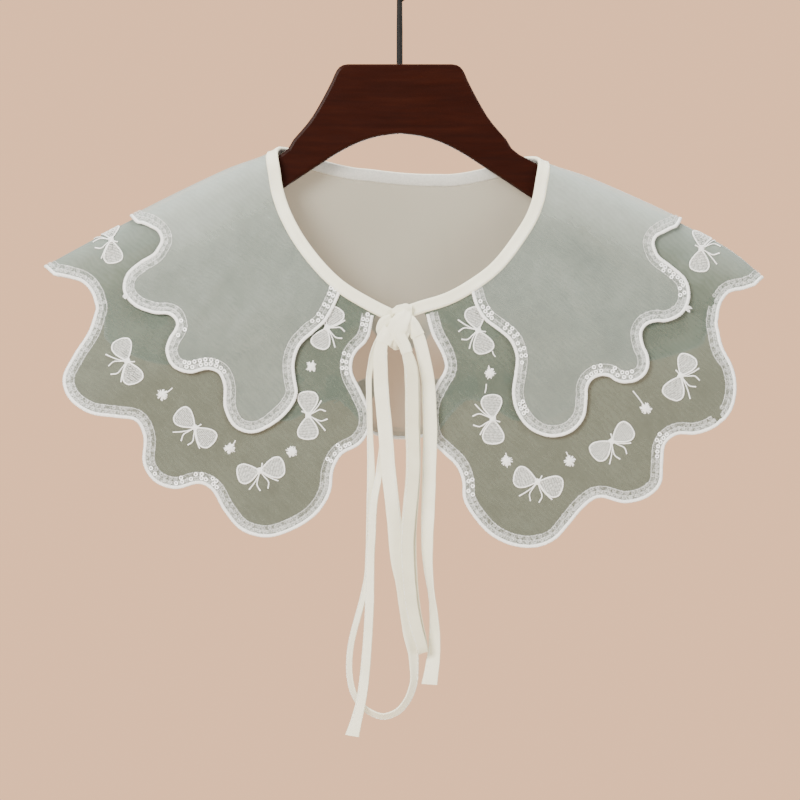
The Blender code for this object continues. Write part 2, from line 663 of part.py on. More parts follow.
def face_outward(made):
    """Turn a closed mesh's faces outward."""
    bm = bmesh.new()
    bm.from_mesh(made.data)
    bmesh.ops.recalc_face_normals(bm, faces=bm.faces)
    bm.to_mesh(made.data)
    bm.free()


def on_fold(p):
    """Whether a place on the cloth is where it turns over the shoulder."""
    return abs(p.y) < FOLD_R * math.pi / 2 + 0.1


def lattice(outline):
    """Mesh points inside an outline: straight rows along the fold, then an even lattice."""
    low_x, high_x = min(p.x for p in outline), max(p.x for p in outline)
    low_s, high_s = min(p.y for p in outline), max(p.y for p in outline)
    quarter, row_height = FOLD_R * math.pi / 2, GRID * math.sqrt(3) / 2
    rows = [(quarter * k / FOLD_ROWS, 0.0) for k in range(-FOLD_ROWS, FOLD_ROWS + 1)]
    for k in range(1, math.ceil(max(high_s, -low_s) / row_height)):
        shift = (k % 2) * GRID / 2
        rows += [(quarter + row_height * k, shift), (-quarter - row_height * k, shift)]
    found = []
    for s, shift in rows:
        for k in range(math.floor(low_x / GRID), math.ceil(high_x / GRID) + 1):
            p = Vector((k * GRID + shift, s))
            if inside(p, outline):
                found.append(p)
    return found


def tier_solid(name, tier, lift, slot):
    """One tier: a draped sheet, thicker along its hem."""
    hem, edge = tier_outline(tier)
    outline = [*hem, *reversed(edge)]
    ring = [
        p
        for p in sideways(hem, RIM_WIDTH)
        if inside(p, outline) and min((p - q).length for q in outline) > RIM_WIDTH * 0.86
    ]
    border_points = [*outline, *ring]
    filling = [
        p
        for p in lattice(outline)
        if min((p - q).length for q in border_points) > (FOLD_NEAR if on_fold(p) else GRID / 2)
    ]
    points = [*outline, *ring, *filling]
    border = list(range(len(outline)))
    flat, _, triangles, origin, _, _ = geometry.delaunay_2d_cdt(
        [Vector((p.x, p.y)) for p in points], [], [border], 1, 1e-6
    )
    rim = {i for i, come in enumerate(origin) for k in come if k < len(hem)}
    rim |= {i for i, come in enumerate(origin) for k in come if 0 <= k - len(outline) < len(ring)}
    neck = [Vector(p) for p in edge]
    draped = []
    for p in flat:
        from_neck = min((p - q).length for q in neck)
        draped.append(drape(p.x, p.y, lift(from_neck)))
    faces = [tuple(reversed(t)) for t in triangles]
    made = solid(name, draped, faces, slot)
    thick = made.vertex_groups.new(name="thickness")
    thick.add(range(len(draped)), WALL / RIM_WALL, "REPLACE")
    thick.add(sorted(rim), 1.0, "REPLACE")
    wall = made.modifiers.new("wall", "SOLIDIFY")
    wall.thickness = RIM_WALL * MM
    wall.offset = 1.0
    wall.vertex_group = "thickness"
    wall.use_quality_normals = True
    return made


def lower_lift(_from_neck):
    """The lower tier's inner face is the cloth's inner face."""
    return 0.0


def upper_lift(from_neck):
    """The upper tier's inner face rises from the seam at the neck to its hem."""
    return UPPER_LIFT_NECK + (UPPER_LIFT - UPPER_LIFT_NECK) * smooth(from_neck / LIFT_LENGTH)


def neck_binding():
    """The folded tape round the neck edge."""
    middle = neck_curve()
    lines = [sideways(middle, -share * BINDING_WIDTH) for share, _ in BINDING_SECTION]
    rings = [
        [
            drape(line[i].x, line[i].y, height)
            for line, (_, height) in zip(lines, BINDING_SECTION)
        ]
        for i in range(len(middle))
    ]
    made = solid("neck_binding", *closed_tube(rings), "white_tape")
    face_outward(made)
    return made


# ---- bows -----------------------------------------------------------------------------
def bow_outline(half):
    """A two-leaf bow of that half length, lying along X about its middle."""
    points = []
    for k in range(BOW_POINTS):
        angle = 2 * math.pi * (k + 0.5) / BOW_POINTS
        swell = abs(math.cos(angle)) ** BOW_POWER
        radius = BOW_WAIST + (half - BOW_WAIST) * swell
        points.append((radius * math.cos(angle), radius * math.sin(angle) * BOW_TALL))
    return points


def bow(name, side, x, z, turn, half, tier_surface):
    """A bow on the lower tier, made from the tier's own surface moved out."""
    middle_x, middle_s = on_cloth(side, x, z)
    along, down = ways(middle_x, middle_s)
    normal = down.cross(along).normalized()
    right = Vector((0.0, 0.0, side)).cross(normal).normalized()
    up = normal.cross(right) * side
    spin = math.radians(turn)
    long_way = right * math.cos(spin) + up * math.sin(spin)
    tall_way = up * math.cos(spin) - right * math.sin(spin)
    near_fold = abs(middle_s) < 2 * half + FOLD_R
    gap = BOW_FOLD_GAP if near_fold else SEAM_GAP
    outline = bow_outline(half)
    places = [(0.0, 0.0)] + [(u * share, v * share) for share in BOW_RINGS for u, v in outline]
    inner, outer = [], []
    for u, v in places:
        offset = long_way * u + tall_way * v
        if near_fold:
            change = step_on(middle_x, middle_s, offset)
            on_x, on_s = middle_x + change.x, middle_s + change.y
        else:
            on_x, on_s = on_cloth(side, x + offset.x, z + offset.z)
        near = drape(on_x, on_s, 2 * WALL)
        hit, normal, _, _ = tier_surface.find_nearest(near * MM)
        inner.append(hit / MM + normal * gap)
        outer.append(hit / MM + normal * (gap + BOW_WALL))
    count, faces = len(places), []
    for k in range(BOW_POINTS):
        after = (k + 1) % BOW_POINTS
        lines = [(0, 0), *((1 + r * BOW_POINTS + k, 1 + r * BOW_POINTS + after) for r in (0, 1))]
        (middle, _), (a, b), (c, d) = lines
        faces += [(middle, a, b), (a, c, d, b), (c, c + count, d + count, d)]
        faces += [(middle + count, b + count, a + count), (a + count, b + count, d + count, c + count)]
    made = solid(name, inner + outer, faces, "white_thread")
    face_outward(made)
    return made


# ---- ties -----------------------------------------------------------------------------
def tape_places(route):
    """Each place along a tape with the turn of its face and its width, row by row."""
    knots = open_ended([row[:3] for row in route])
    found = []
    for i, (row, after) in enumerate(zip(route, route[1:])):
        count = max(1, math.ceil((knots[i + 2] - knots[i + 1]).length / TAPE_STEP))
        for k in range(count):
            turn, width = (row[n] + (after[n] - row[n]) * k / count for n in (3, 4))
            found.append((bend(*knots[i : i + 4], k / count), turn, width))
    return [*found, (knots[-2], *route[-1][3:])]


def tape(name, route):
    """A flat tape along its route, turned as its rows say."""
    places = tape_places(route)
    rings, before_way, across = [], None, None
    for i, (p, turn, width) in enumerate(places):
        ahead, behind = places[min(i + 1, len(places) - 1)][0], places[max(i - 1, 0)][0]
        way = (ahead - behind).normalized()
        if before_way is None:
            across = way.cross(Vector((0.0, -1.0, 0.0))).normalized()
        else:
            across = before_way.rotation_difference(way) @ across
        before_way = way
        side = Quaternion(way, math.radians(turn)) @ across
        face = side.cross(way).normalized()
        half, thick = side * width / 2, face * TAPE_THICK / 2
        rings.append([p - half - thick, p + half - thick, p + half + thick, p - half + thick])
    made = solid(name, *closed_tube(rings), "white_tape")
    face_outward(made)
    return made


def knot():
    """The knot of the ties, between the two ends of the binding."""
    rings = []
    for z, half_width, half_depth, shift in KNOT_RINGS:
        ring = []
        for k in range(KNOT_SIDES):
            angle = 2 * math.pi * k / KNOT_SIDES
            x = KNOT_X + shift + half_width * math.cos(angle)
            ring.append(Vector((x, KNOT_Y + half_depth * math.sin(angle), z)))
        rings.append(ring)
    made = solid("tie_knot", *closed_tube(rings), "white_tape")
    face_outward(made)
    return made


# ---- hanger ---------------------------------------------------------------------------
def board_outline():
    """The hanger board's outline in the front view, symmetric about its middle."""
    upper = [Vector(p) for p in BOARD_UPPER]
    first_out, last_out = BOARD_UPPER[-1][0] + BOARD_END, BOARD_TIP_X - BOARD_END
    arm = [first_out + (last_out - first_out) * k / ARM_ROWS for k in range(ARM_ROWS + 1)]
    top = [Vector((out, under_fold(out))) for out in arm]
    start_tall = under_fold(first_out) - BOARD_LOWER[-1][1]
    bottom = []
    for k, out in enumerate(arm):
        tall = start_tall + (BOARD_TIP_TALL - start_tall) * smooth(k / ARM_ROWS)
        bottom.append(Vector((out, under_fold(out) - tall)))
    tip = (top[-1] + bottom[-1]) / 2 + Vector((BOARD_END, -BOARD_END_DROP))
    edge = spline([*upper, *top, tip, *reversed(bottom[1:])], lambda _: BOARD_STEP)
    arch = spline([Vector(p) for p in reversed(BOARD_LOWER)], lambda _: BOARD_STEP)
    half = [*[Vector(p) for p in BOARD_CORNER], *edge, *arch[:-1]]
    right = [Vector((BOARD_X + p.x, p.y)) for p in half]
    left = [Vector((BOARD_X - p.x, p.y)) for p in half]
    return [*right, Vector((BOARD_X, BOARD_LOWER[0][1])), *reversed(left)]


def under_fold(out):
    """The height of the board's top edge under the cloth, the lower of the two sides'."""
    ends = (BOARD_X + out, BOARD_X - out)
    return min(fold_height(x) - BOARD_CLEAR * fold_stretch(x) for x in ends)


def hanger_body():
    """The flat wooden board, its edges bevelled."""
    outline = board_outline()
    half = BOARD_THICK / 2
    count = len(outline)
    points = [(p.x, -half, p.y) for p in outline] + [(p.x, half, p.y) for p in outline]
    faces = [tuple(range(count)), tuple(reversed(range(count, 2 * count)))]
    for k in range(count):
        after = (k + 1) % count
        faces.append((k, k + count, after + count, after))
    made = solid("hanger_body", points, faces, "dark_wood")
    face_outward(made)
    edges = made.modifiers.new("rounded_edges", "BEVEL")
    edges.width = BOARD_BEVEL * MM
    edges.segments = 2
    edges.limit_method = "ANGLE"
    edges.angle_limit = math.radians(60)
    return made


def hanger_hook():
    """The hook: a straight shank and an open round of wire."""
    radius = HOOK_INNER + HOOK_WIRE / 2
    foot = BOARD_CORNER[0][1] + SEAM_GAP
    route = [(HOOK_X, foot), (HOOK_X, (foot + HOOK_STRAIGHT) / 2), (HOOK_X, HOOK_STRAIGHT)]
    steps = round((HOOK_END - HOOK_START) / HOOK_STEP)
    for k in range(steps + 1):
        angle = math.radians(HOOK_START + (HOOK_END - HOOK_START) * k / steps)
        route.append((radius * math.cos(angle), radius * math.sin(angle) - HOOK_INNER))
    curve = bpy.data.curves.new("hanger_hook", "CURVE")
    curve.dimensions = "3D"
    line = curve.splines.new("POLY")
    places = [Vector(p) for p in route[:2]] + spline(route[2:], lambda _: HOOK_WIRE)
    line.points.add(len(places) - 1)
    for knot_point, p in zip(line.points, places):
        knot_point.co = (p.x * MM, 0.0, p.y * MM, 1.0)
    curve.bevel_depth = HOOK_WIRE / 2 * MM
    curve.bevel_resolution = 2
    curve.use_fill_caps = True
    return place("hanger_hook", curve, "black_wire")


# ---- the whole collar -----------------------------------------------------------------
for old in list(bpy.data.objects):
    bpy.data.objects.remove(old, do_unlink=True)
parts = bpy.data.collections.new("lace_collar")
bpy.context.scene.collection.children.link(parts)

lower = tier_solid("lower_tier", LOWER, lower_lift, "organza")
tier_solid("upper_tier", UPPER, upper_lift, "organza")
neck_binding()

bpy.context.view_layer.update()
surface = BVHTree.FromObject(lower, bpy.context.evaluated_depsgraph_get())
counts = {FRONT: 0, BACK: 0}
for bow_side, bow_x, bow_z, bow_turn, bow_half in BOWS:
    counts[bow_side] += 1
    where = "front" if bow_side == FRONT else "back"
    bow_name = f"bow_{where}_{counts[bow_side]:02d}"
    bow(bow_name, bow_side, bow_x, bow_z, bow_turn, bow_half, surface)

knot()
tape("tie_tail_left", TAIL_LEFT)
tape("tie_loop_left", LOOP_LEFT)
tape("tie_loop_right", LOOP_RIGHT)
tape("tie_tail_right", TAIL_RIGHT)
hanger_body()
hanger_hook()
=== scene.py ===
"""The looks of a two-tier organza lace collar that hangs on a wooden hanger.

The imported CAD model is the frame. +Z is up, the collar's front faces -Y, and the origin is
the inner top of the hanger's hook. Tables are in millimetres and the scene is in metres.

The cloth is one curved surface: it hangs over a fold that runs along the shoulders. A
place on it is (x, s), where s is the way down the cloth from that fold, above 0 on the
front and below 0 on the back. Cloth, stitches, sequins and bows are drawn in (x, s).
"""

import itertools
import json
import math

import bpy
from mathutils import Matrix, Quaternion, Vector, geometry, kdtree

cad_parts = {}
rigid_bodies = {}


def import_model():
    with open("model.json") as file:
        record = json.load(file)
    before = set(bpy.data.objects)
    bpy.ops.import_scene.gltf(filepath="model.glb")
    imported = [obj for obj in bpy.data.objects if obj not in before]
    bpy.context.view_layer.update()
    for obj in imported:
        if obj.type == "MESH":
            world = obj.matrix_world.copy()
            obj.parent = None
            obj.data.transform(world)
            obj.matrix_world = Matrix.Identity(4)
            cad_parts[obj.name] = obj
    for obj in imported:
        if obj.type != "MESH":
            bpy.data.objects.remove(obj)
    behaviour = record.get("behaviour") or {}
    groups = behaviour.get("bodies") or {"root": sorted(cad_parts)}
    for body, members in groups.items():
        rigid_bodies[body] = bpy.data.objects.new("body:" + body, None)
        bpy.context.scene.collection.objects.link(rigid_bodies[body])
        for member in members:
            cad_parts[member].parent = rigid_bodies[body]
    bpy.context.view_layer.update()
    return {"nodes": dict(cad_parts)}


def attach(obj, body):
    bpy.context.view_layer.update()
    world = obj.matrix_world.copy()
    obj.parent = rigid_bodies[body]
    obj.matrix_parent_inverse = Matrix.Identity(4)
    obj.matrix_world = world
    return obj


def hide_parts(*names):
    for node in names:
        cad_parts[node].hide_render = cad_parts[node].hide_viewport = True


MM = 0.001  # metres in a millimetre
FRONT, TOP, BACK = 1, 0, -1  # the side of the shoulder fold that a row lies on

# ---- the drape ------------------------------------------------------------------------
FOLD_Z = -143.1  # height of the shoulder fold beside the neck
FOLD_X = 83.8  # rounded distance from the middle where that height holds
FOLD_ROUND = 25.0  # rounding of the fold at the middle
FOLD_SLOPE = 0.415  # fall of the shoulder for each mm outward
NECK_SLOPE = 0.2  # further fall close to the neck
NECK_BLEND = 4.0  # length over which that further fall ends
FOLD_CURVE = 0.0006  # rounding of the shoulder towards its tip
NECK_TILT = 1.5  # beside the neck the left side sits higher by this, the right lower
TILT_END = 170.0  # distance from the middle where the two sides are level again
DROOP = 0.009  # further rounding of the right shoulder's tip
DROOP_X = 186.0  # distance from the middle where that begins
FOLD_R = 9.0  # radius of the cloth where it turns over the fold
FLARE = {FRONT: 22.0, BACK: 14.0}  # how far each side stands out at its foot
FLARE_LENGTH = 90.0  # the way down over which it comes out

# Soft folds in both tiers: where each one starts and ends in the front view, how wide
# it is to each side and how far it stands out: x_top, z_top, x_end, z_end, width, height.
CREASE_RISE = 1.6  # each reaches its full height after its length divided by this
CREASES = {
    FRONT: (
        (-88.0, -172.0, -166.0, -268.0, 17.0, 2.2), (-74.0, -214.0, -98.0, -352.0, 15.0, -1.6),
        (-44.0, -236.0, -46.0, -322.0, 12.0, 1.3), (92.0, -176.0, 122.0, -222.0, 9.0, -1.8),
        (84.0, -206.0, 150.0, -316.0, 17.0, 2.0), (58.0, -226.0, 74.0, -350.0, 15.0, -1.5),
        # small creases
        (84.0, -176.0, 119.0, -224.0, 4.4, 1.5), (90.0, -172.0, 132.0, -214.0, 3.8, -1.2),
        (76.0, -190.0, 104.0, -238.0, 4.6, -1.4), (-84.0, -182.0, -122.0, -236.0, 4.8, 1.1),
        (-78.0, -196.0, -102.0, -246.0, 4.4, -0.9), (-60.0, -208.0, -68.0, -236.0, 3.4, 0.6),
        (-50.0, -220.0, -56.0, -243.0, 2.6, 0.35), (60.0, -212.0, 66.0, -236.0, 3.2, 0.6),
        (88.0, -198.0, 117.0, -250.0, 5.0, 1.2), (126.0, -196.0, 146.0, -238.0, 5.0, 0.6),
        (-130.0, -204.0, -150.0, -262.0, 5.0, -0.6),
    ),
    BACK: (
        (-62.0, -176.0, -118.0, -268.0, 17.0, 2.0), (-18.0, -176.0, -34.0, -290.0, 15.0, -1.4),
        (34.0, -176.0, 52.0, -288.0, 16.0, 1.8), (74.0, -180.0, 136.0, -258.0, 14.0, -1.6),
        # small creases
        (-70.0, -166.0, -92.0, -222.0, 4.2, 0.4), (-6.0, -168.0, -12.0, -232.0, 4.6, -0.4),
        (58.0, -166.0, 80.0, -214.0, 3.8, 0.4), (24.0, -166.0, 30.0, -206.0, 3.2, 0.35),
    ),
}

# ---- the cloth ------------------------------------------------------------------------
UPPER_LIFT = 2.5  # height of the upper tier's inner face at its hem
UPPER_LIFT_NECK = 1.3  # and at the neck, where the two tiers are sewn together
LIFT_LENGTH = 26.0  # way over which it rises
LIFT_START = 0.5  # how much lower its sheet starts than the solid it stands for
FINE = 20  # straight bits that a curve between two of its points is measured with

# The neck edge, along the middle of its binding, from the left front end to the right.
# side, x, z in the front view (on the fold itself only x counts)
NECKLINE = (
    (FRONT, -11.0, -233.2), (FRONT, -23.2, -226.9), (FRONT, -39.7, -216.0),
    (FRONT, -53.8, -201.0), (FRONT, -64.4, -185.4), (FRONT, -71.7, -169.6),
    (FRONT, -75.3, -154.9), (TOP, -75.9, None), (BACK, -62.0, -141.6), (BACK, -45.0, -147.2),
    (BACK, -23.0, -151.3), (BACK, 0.0, -153.8), (BACK, 23.0, -154.6), (BACK, 46.0, -151.8),
    (BACK, 66.0, -146.0), (TOP, 81.7, None), (FRONT, 81.1, -160.1), (FRONT, 77.0, -174.8),
    (FRONT, 67.6, -190.7), (FRONT, 54.4, -207.2), (FRONT, 38.8, -218.9), (FRONT, 16.8, -228.6),
    (FRONT, 4.5, -232.4),
)
BINDING_WIDTH = 7.5
NECK_STEP = 3.0  # spacing of the places that the way from the neck is measured to
INSET_CLEAR = 0.93  # share of its distance that an inset line keeps from the edge

# Each tier's hem on the front, x and z in the front view, from the opening to the notch
# before the shoulder.
LOWER_LEFT = (
    (-17.1, -235.4), (-20.3, -249.0), (-28.3, -258.5), (-29.7, -268.0), (-24.0, -280.2),
    (-19.2, -292.0), (-19.8, -303.0), (-25.5, -311.0), (-36.0, -317.0), (-40.6, -325.5),
    (-42.4, -338.5), (-49.8, -350.9), (-63.0, -360.2), (-80.0, -365.3), (-95.0, -361.0),
    (-105.5, -349.0), (-112.0, -337.8), (-119.0, -333.9), (-133.5, -336.9), (-145.8, -332.4),
    (-152.2, -322.0), (-152.0, -306.0), (-156.5, -297.3), (-168.0, -295.2), (-184.0, -292.6),
    (-196.0, -283.8), (-199.5, -272.5), (-193.5, -259.0), (-184.5, -244.4), (-180.6, -231.5),
)
LOWER_RIGHT = (
    (13.5, -234.8), (16.8, -246.5), (22.6, -257.8), (24.5, -266.0), (19.5, -275.4),
    (14.8, -286.0), (13.8, -297.0), (16.8, -309.4), (24.2, -316.7), (31.2, -323.7),
    (34.6, -332.0), (35.4, -342.9), (42.0, -354.3), (52.0, -364.5), (65.5, -370.5),
    (79.0, -370.9), (89.2, -366.5), (97.5, -357.6), (106.0, -347.6), (114.5, -342.1),
    (130.0, -345.2), (143.0, -341.8), (150.9, -334.0), (152.2, -321.0), (153.6, -310.6),
    (160.0, -305.4), (172.0, -304.9), (184.0, -300.0), (192.0, -291.5), (195.2, -279.0),
    (193.6, -266.5), (187.7, -254.0), (184.9, -240.5),
)
UPPER_LEFT = (
    (-36.4, -221.8), (-40.3, -230.5), (-45.8, -239.5), (-53.7, -246.5), (-60.2, -253.4),
    (-63.3, -263.2), (-62.6, -272.8), (-61.5, -281.0), (-65.2, -289.3), (-74.6, -298.6),
    (-87.9, -304.3), (-99.0, -300.7), (-104.9, -289.5), (-105.3, -276.0), (-108.4, -269.0),
    (-115.0, -267.2), (-125.0, -269.4), (-135.0, -265.5), (-138.9, -256.2), (-136.5, -248.6),
    (-132.6, -241.5), (-135.6, -236.3), (-146.0, -235.2), (-157.5, -230.5), (-164.0, -222.0),
    (-162.6, -211.7), (-155.0, -204.2), (-146.2, -198.6), (-142.5, -191.8),
)
UPPER_RIGHT = (
    (39.8, -221.6), (42.2, -229.5), (47.0, -237.5), (55.4, -244.1), (62.5, -250.3),
    (66.0, -259.5), (65.2, -269.5), (63.8, -280.5), (66.0, -291.0), (73.5, -301.2),
    (86.0, -306.5), (98.0, -304.0), (106.0, -295.5), (108.1, -284.0), (108.9, -275.8),
    (113.5, -271.4), (119.5, -271.0), (126.5, -274.8), (137.0, -273.8), (142.9, -267.8),
    (143.3, -260.0), (140.2, -252.5), (140.0, -245.0), (145.5, -240.4), (155.0, -239.8),
    (164.0, -235.0), (168.3, -225.5), (166.5, -214.8), (158.8, -207.0), (150.0, -199.8),
    (147.9, -193.0),
)
# Then the scallop that turns over each shoulder: its points on the front, which the back
# repeats, and its reach. Then the back hem: the half width and depth of the ellipse that
# its scallops touch, how deep its notches are, and the number of scallops between the
# shoulder and the middle one.
LOWER = {
    "front_left": LOWER_LEFT,
    "front_right": LOWER_RIGHT,
    "shoulder_left": ((-183.0, -222.8), (-188.5, -216.0), (-197.0, -213.0), (-206.0, -211.2)),
    "shoulder_right": ((187.0, -228.8), (192.5, -221.6), (201.0, -219.6), (208.0, -217.0)),
    "reach": (-211.7, 212.3),
    "back": {"half_width": 229.0, "depth": 170.5, "notch": 20.6, "between": 2},
}
UPPER = {
    "front_left": UPPER_LEFT,
    "front_right": UPPER_RIGHT,
    "shoulder_left": ((-144.0, -186.4), (-150.0, -183.0), (-156.5, -181.9)),
    "shoulder_right": ((150.0, -188.4), (155.0, -186.3), (161.0, -184.1)),
    "reach": (-159.8, 163.2),
    "back": {"half_width": 169.0, "depth": 116.4, "notch": 14.7, "between": 3},
}
SCALLOP_SIDE = 0.4  # how far out a scallop's straight sides reach, as a share of its depth
SCALLOP_ANGLES = (180.0, 135.0, 90.0, 45.0, 0.0)  # its points round the half ellipse beyond
BACK_CENTRE_Z = -137.8  # centre of the back hem's ellipses
BACK_BREADTH = 0.72  # breadth of a back scallop, as a share of the way between notches
VIEW_STEP = 4.0  # spacing of the places that a hem's line is carried over to the cloth with

# ---- the ties -------------------------------------------------------------------------
TAPE_THICK = 1.0
TAPE_STEP = 8.0  # greatest spacing of the mesh along a tape
# The route of each tape: x, y, z, the turn of its face in degrees and its width, which is
# less where the soft tape gathers
TAIL_LEFT = (
    (-11.4, -38.5, -256.6, 0.0, 5.0), (-12.6, -38.4, -263.0, 0.0, 6.0),
    (-12.8, -38.3, -273.0, 0.0, 6.4), (-12.2, -38.3, -288.0, 0.0, 5.6),
    (-10.9, -38.3, -302.0, 0.0, 5.0), (-11.8, -38.3, -314.0, 0.0, 4.6),
    (-12.8, -38.2, -320.0, 4.0, 4.4), (-14.4, -38.2, -330.4, 14.0, 4.0),
    (-15.8, -38.8, -337.4, 25.0, 4.4), (-16.9, -39.9, -343.6, 34.0, 4.8),
    (-17.7, -40.2, -352.0, 34.0, 5.0), (-18.1, -40.4, -360.7, 34.0, 5.3),
    (-19.1, -40.6, -378.0, 34.0, 5.6), (-19.5, -40.9, -401.6, 34.0, 6.0),
    (-20.0, -41.3, -413.5, 34.0, 6.0), (-20.7, -41.8, -425.0, 32.0, 6.0),
    (-22.1, -42.4, -442.5, 28.0, 6.2), (-24.4, -42.8, -460.0, 24.0, 6.2),
    (-27.2, -42.8, -471.7, 18.0, 6.8), (-29.7, -42.8, -480.8, 12.0, 7.4),
)
LOOP_LEFT = (
    (-13.8, -36.6, -249.6, 0.0, 4.4), (-15.6, -36.4, -252.9, 0.0, 4.2),
    (-17.7, -36.2, -258.6, 0.0, 3.8), (-18.9, -36.0, -264.4, 0.0, 3.5),
    (-19.9, -35.9, -271.0, 0.0, 3.4), (-19.7, -35.9, -289.0, 0.0, 3.4),
    (-19.4, -35.9, -302.3, 0.0, 3.5), (-18.7, -35.9, -326.0, 0.0, 4.6),
    (-18.9, -35.9, -343.0, 0.0, 4.8), (-19.3, -35.9, -360.7, 0.0, 4.6),
    (-19.9, -35.9, -378.2, 0.0, 4.4), (-20.6, -35.9, -387.4, 8.0, 4.2),
    (-23.7, -36.2, -401.8, 28.0, 4.0), (-27.7, -36.6, -416.2, 46.0, 4.8),
    (-29.9, -36.9, -425.0, 52.0, 5.2), (-31.2, -37.1, -433.7, 54.0, 5.4),
    (-31.5, -37.3, -441.4, 55.0, 5.6), (-29.6, -37.5, -454.2, 57.0, 6.0),
    (-24.2, -37.7, -463.5, 57.0, 6.0), (-15.5, -37.8, -469.0, 57.0, 6.4),
    (-11.1, -37.8, -469.8, 57.0, 6.6), (-2.9, -37.8, -466.7, 57.0, 6.6),
    (3.3, -37.8, -458.8, 54.0, 6.6), (6.5, -37.8, -448.3, 50.0, 6.6),
    (6.5, -37.7, -441.3, 44.0, 6.8), (6.1, -37.6, -433.7, 34.0, 7.0),
    (4.1, -37.6, -422.4, 12.0, 7.8), (1.2, -37.6, -401.6, 0.0, 8.2),
    (-0.5, -37.6, -389.9, 0.0, 8.4), (-3.0, -37.6, -378.6, 0.0, 8.4),
    (-4.7, -37.9, -360.7, 0.0, 8.4), (-5.8, -38.6, -349.0, 0.0, 8.4),
    (-8.5, -40.2, -325.7, 0.0, 8.4), (-10.4, -40.8, -302.3, 0.0, 8.4),
    (-12.6, -41.0, -279.0, 0.0, 8.4), (-13.1, -41.1, -267.3, 0.0, 8.4),
    (-13.3, -41.4, -259.0, 0.0, 8.2), (-12.8, -41.7, -253.4, 0.0, 7.6),
    (-11.8, -41.9, -249.6, 0.0, 6.6),
)
LOOP_RIGHT = (
    (-1.4, -42.2, -248.6, 0.0, 3.6), (0.9, -42.7, -252.7, 0.0, 4.6),
    (2.1, -43.0, -256.8, 0.0, 6.0), (3.4, -43.3, -261.4, 0.0, 7.0),
    (4.4, -43.5, -265.6, 0.0, 7.6), (5.0, -43.6, -273.1, 0.0, 8.0),
    (5.2, -43.6, -284.8, 0.0, 8.0), (5.3, -43.6, -302.3, 0.0, 8.0),
    (5.7, -43.6, -314.0, 0.0, 8.0), (5.7, -43.6, -325.7, 0.0, 8.0),
    (4.9, -43.6, -337.4, 0.0, 8.0), (3.7, -43.6, -349.0, 0.0, 8.0),
    (2.6, -43.6, -360.7, 0.0, 8.0), (2.2, -43.6, -372.4, 0.0, 8.0),
    (2.7, -43.6, -384.1, 0.0, 8.0), (3.6, -43.6, -395.8, 0.0, 8.0),
    (5.1, -43.6, -407.4, 0.0, 7.8), (7.7, -43.6, -418.6, 0.0, 7.4),
    (10.1, -43.6, -426.6, 0.0, 6.8), (11.2, -43.2, -430.6, 0.0, 6.4),
    (11.5, -42.0, -432.2, 0.0, 6.4), (11.6, -40.8, -430.6, 0.0, 6.4),
    (11.0, -40.1, -426.2, 0.0, 6.8), (8.9, -40.0, -418.0, 0.0, 7.4),
    (6.7, -40.0, -407.4, 0.0, 7.8), (5.3, -40.0, -395.8, 0.0, 8.0),
    (4.5, -40.0, -384.1, 0.0, 8.0), (4.1, -40.0, -372.4, 0.0, 8.0),
    (4.2, -40.0, -360.7, 0.0, 8.0), (5.0, -40.1, -349.0, 0.0, 8.0),
    (6.0, -40.1, -337.4, 0.0, 8.0), (6.6, -40.2, -325.7, 0.0, 8.0),
    (6.6, -40.3, -314.0, 0.0, 8.0), (6.3, -40.4, -302.3, 0.0, 8.0),
    (6.3, -40.4, -284.8, 0.0, 8.0), (6.0, -40.4, -273.1, 0.0, 8.0),
    (5.0, -40.2, -265.0, 0.0, 7.2), (3.4, -39.4, -259.0, 0.0, 6.0),
)
TAIL_RIGHT = (
    (5.8, -38.4, -242.6, -8.0, 6.6), (8.5, -38.6, -246.8, -4.0, 7.2),
    (10.4, -38.5, -253.0, 0.0, 7.6), (11.9, -38.3, -259.6, 0.0, 7.8),
    (13.1, -38.0, -265.6, 0.0, 7.8), (14.5, -37.7, -273.6, 0.0, 8.0),
    (15.1, -37.4, -284.8, 0.0, 8.4), (15.8, -37.2, -302.3, 0.0, 8.4),
    (15.4, -37.2, -320.0, 0.0, 8.2), (14.8, -37.2, -343.2, 0.0, 8.0),
    (14.2, -37.2, -360.7, 12.0, 7.6), (14.1, -37.2, -372.0, 30.0, 7.6),
    (14.7, -37.1, -383.0, 48.0, 7.6), (16.0, -36.9, -393.8, 62.0, 7.6),
    (17.1, -36.8, -401.6, 64.0, 7.6), (18.0, -36.7, -410.4, 54.0, 7.6),
    (18.4, -36.7, -419.0, 42.0, 7.8), (18.2, -36.8, -430.8, 26.0, 8.0),
    (17.2, -37.1, -440.0, 10.0, 8.2), (15.4, -37.6, -451.0, 0.0, 8.4),
)

# ---- what only the scene has ----------------------------------------------------------
SHELL = 0.2  # thickness of the organza
SHELL_LIFT = 0.8  # height of its inner face over that of the solid it stands for
SHELL_TOP = SHELL_LIFT + SHELL  # and that of its outer face
SHELL_GRID = 3.3  # spacing of its mesh
SHELL_EDGE = 2.4  # and along its edges
SHELL_UNDER = 2.2  # how far it goes in under the binding's edge

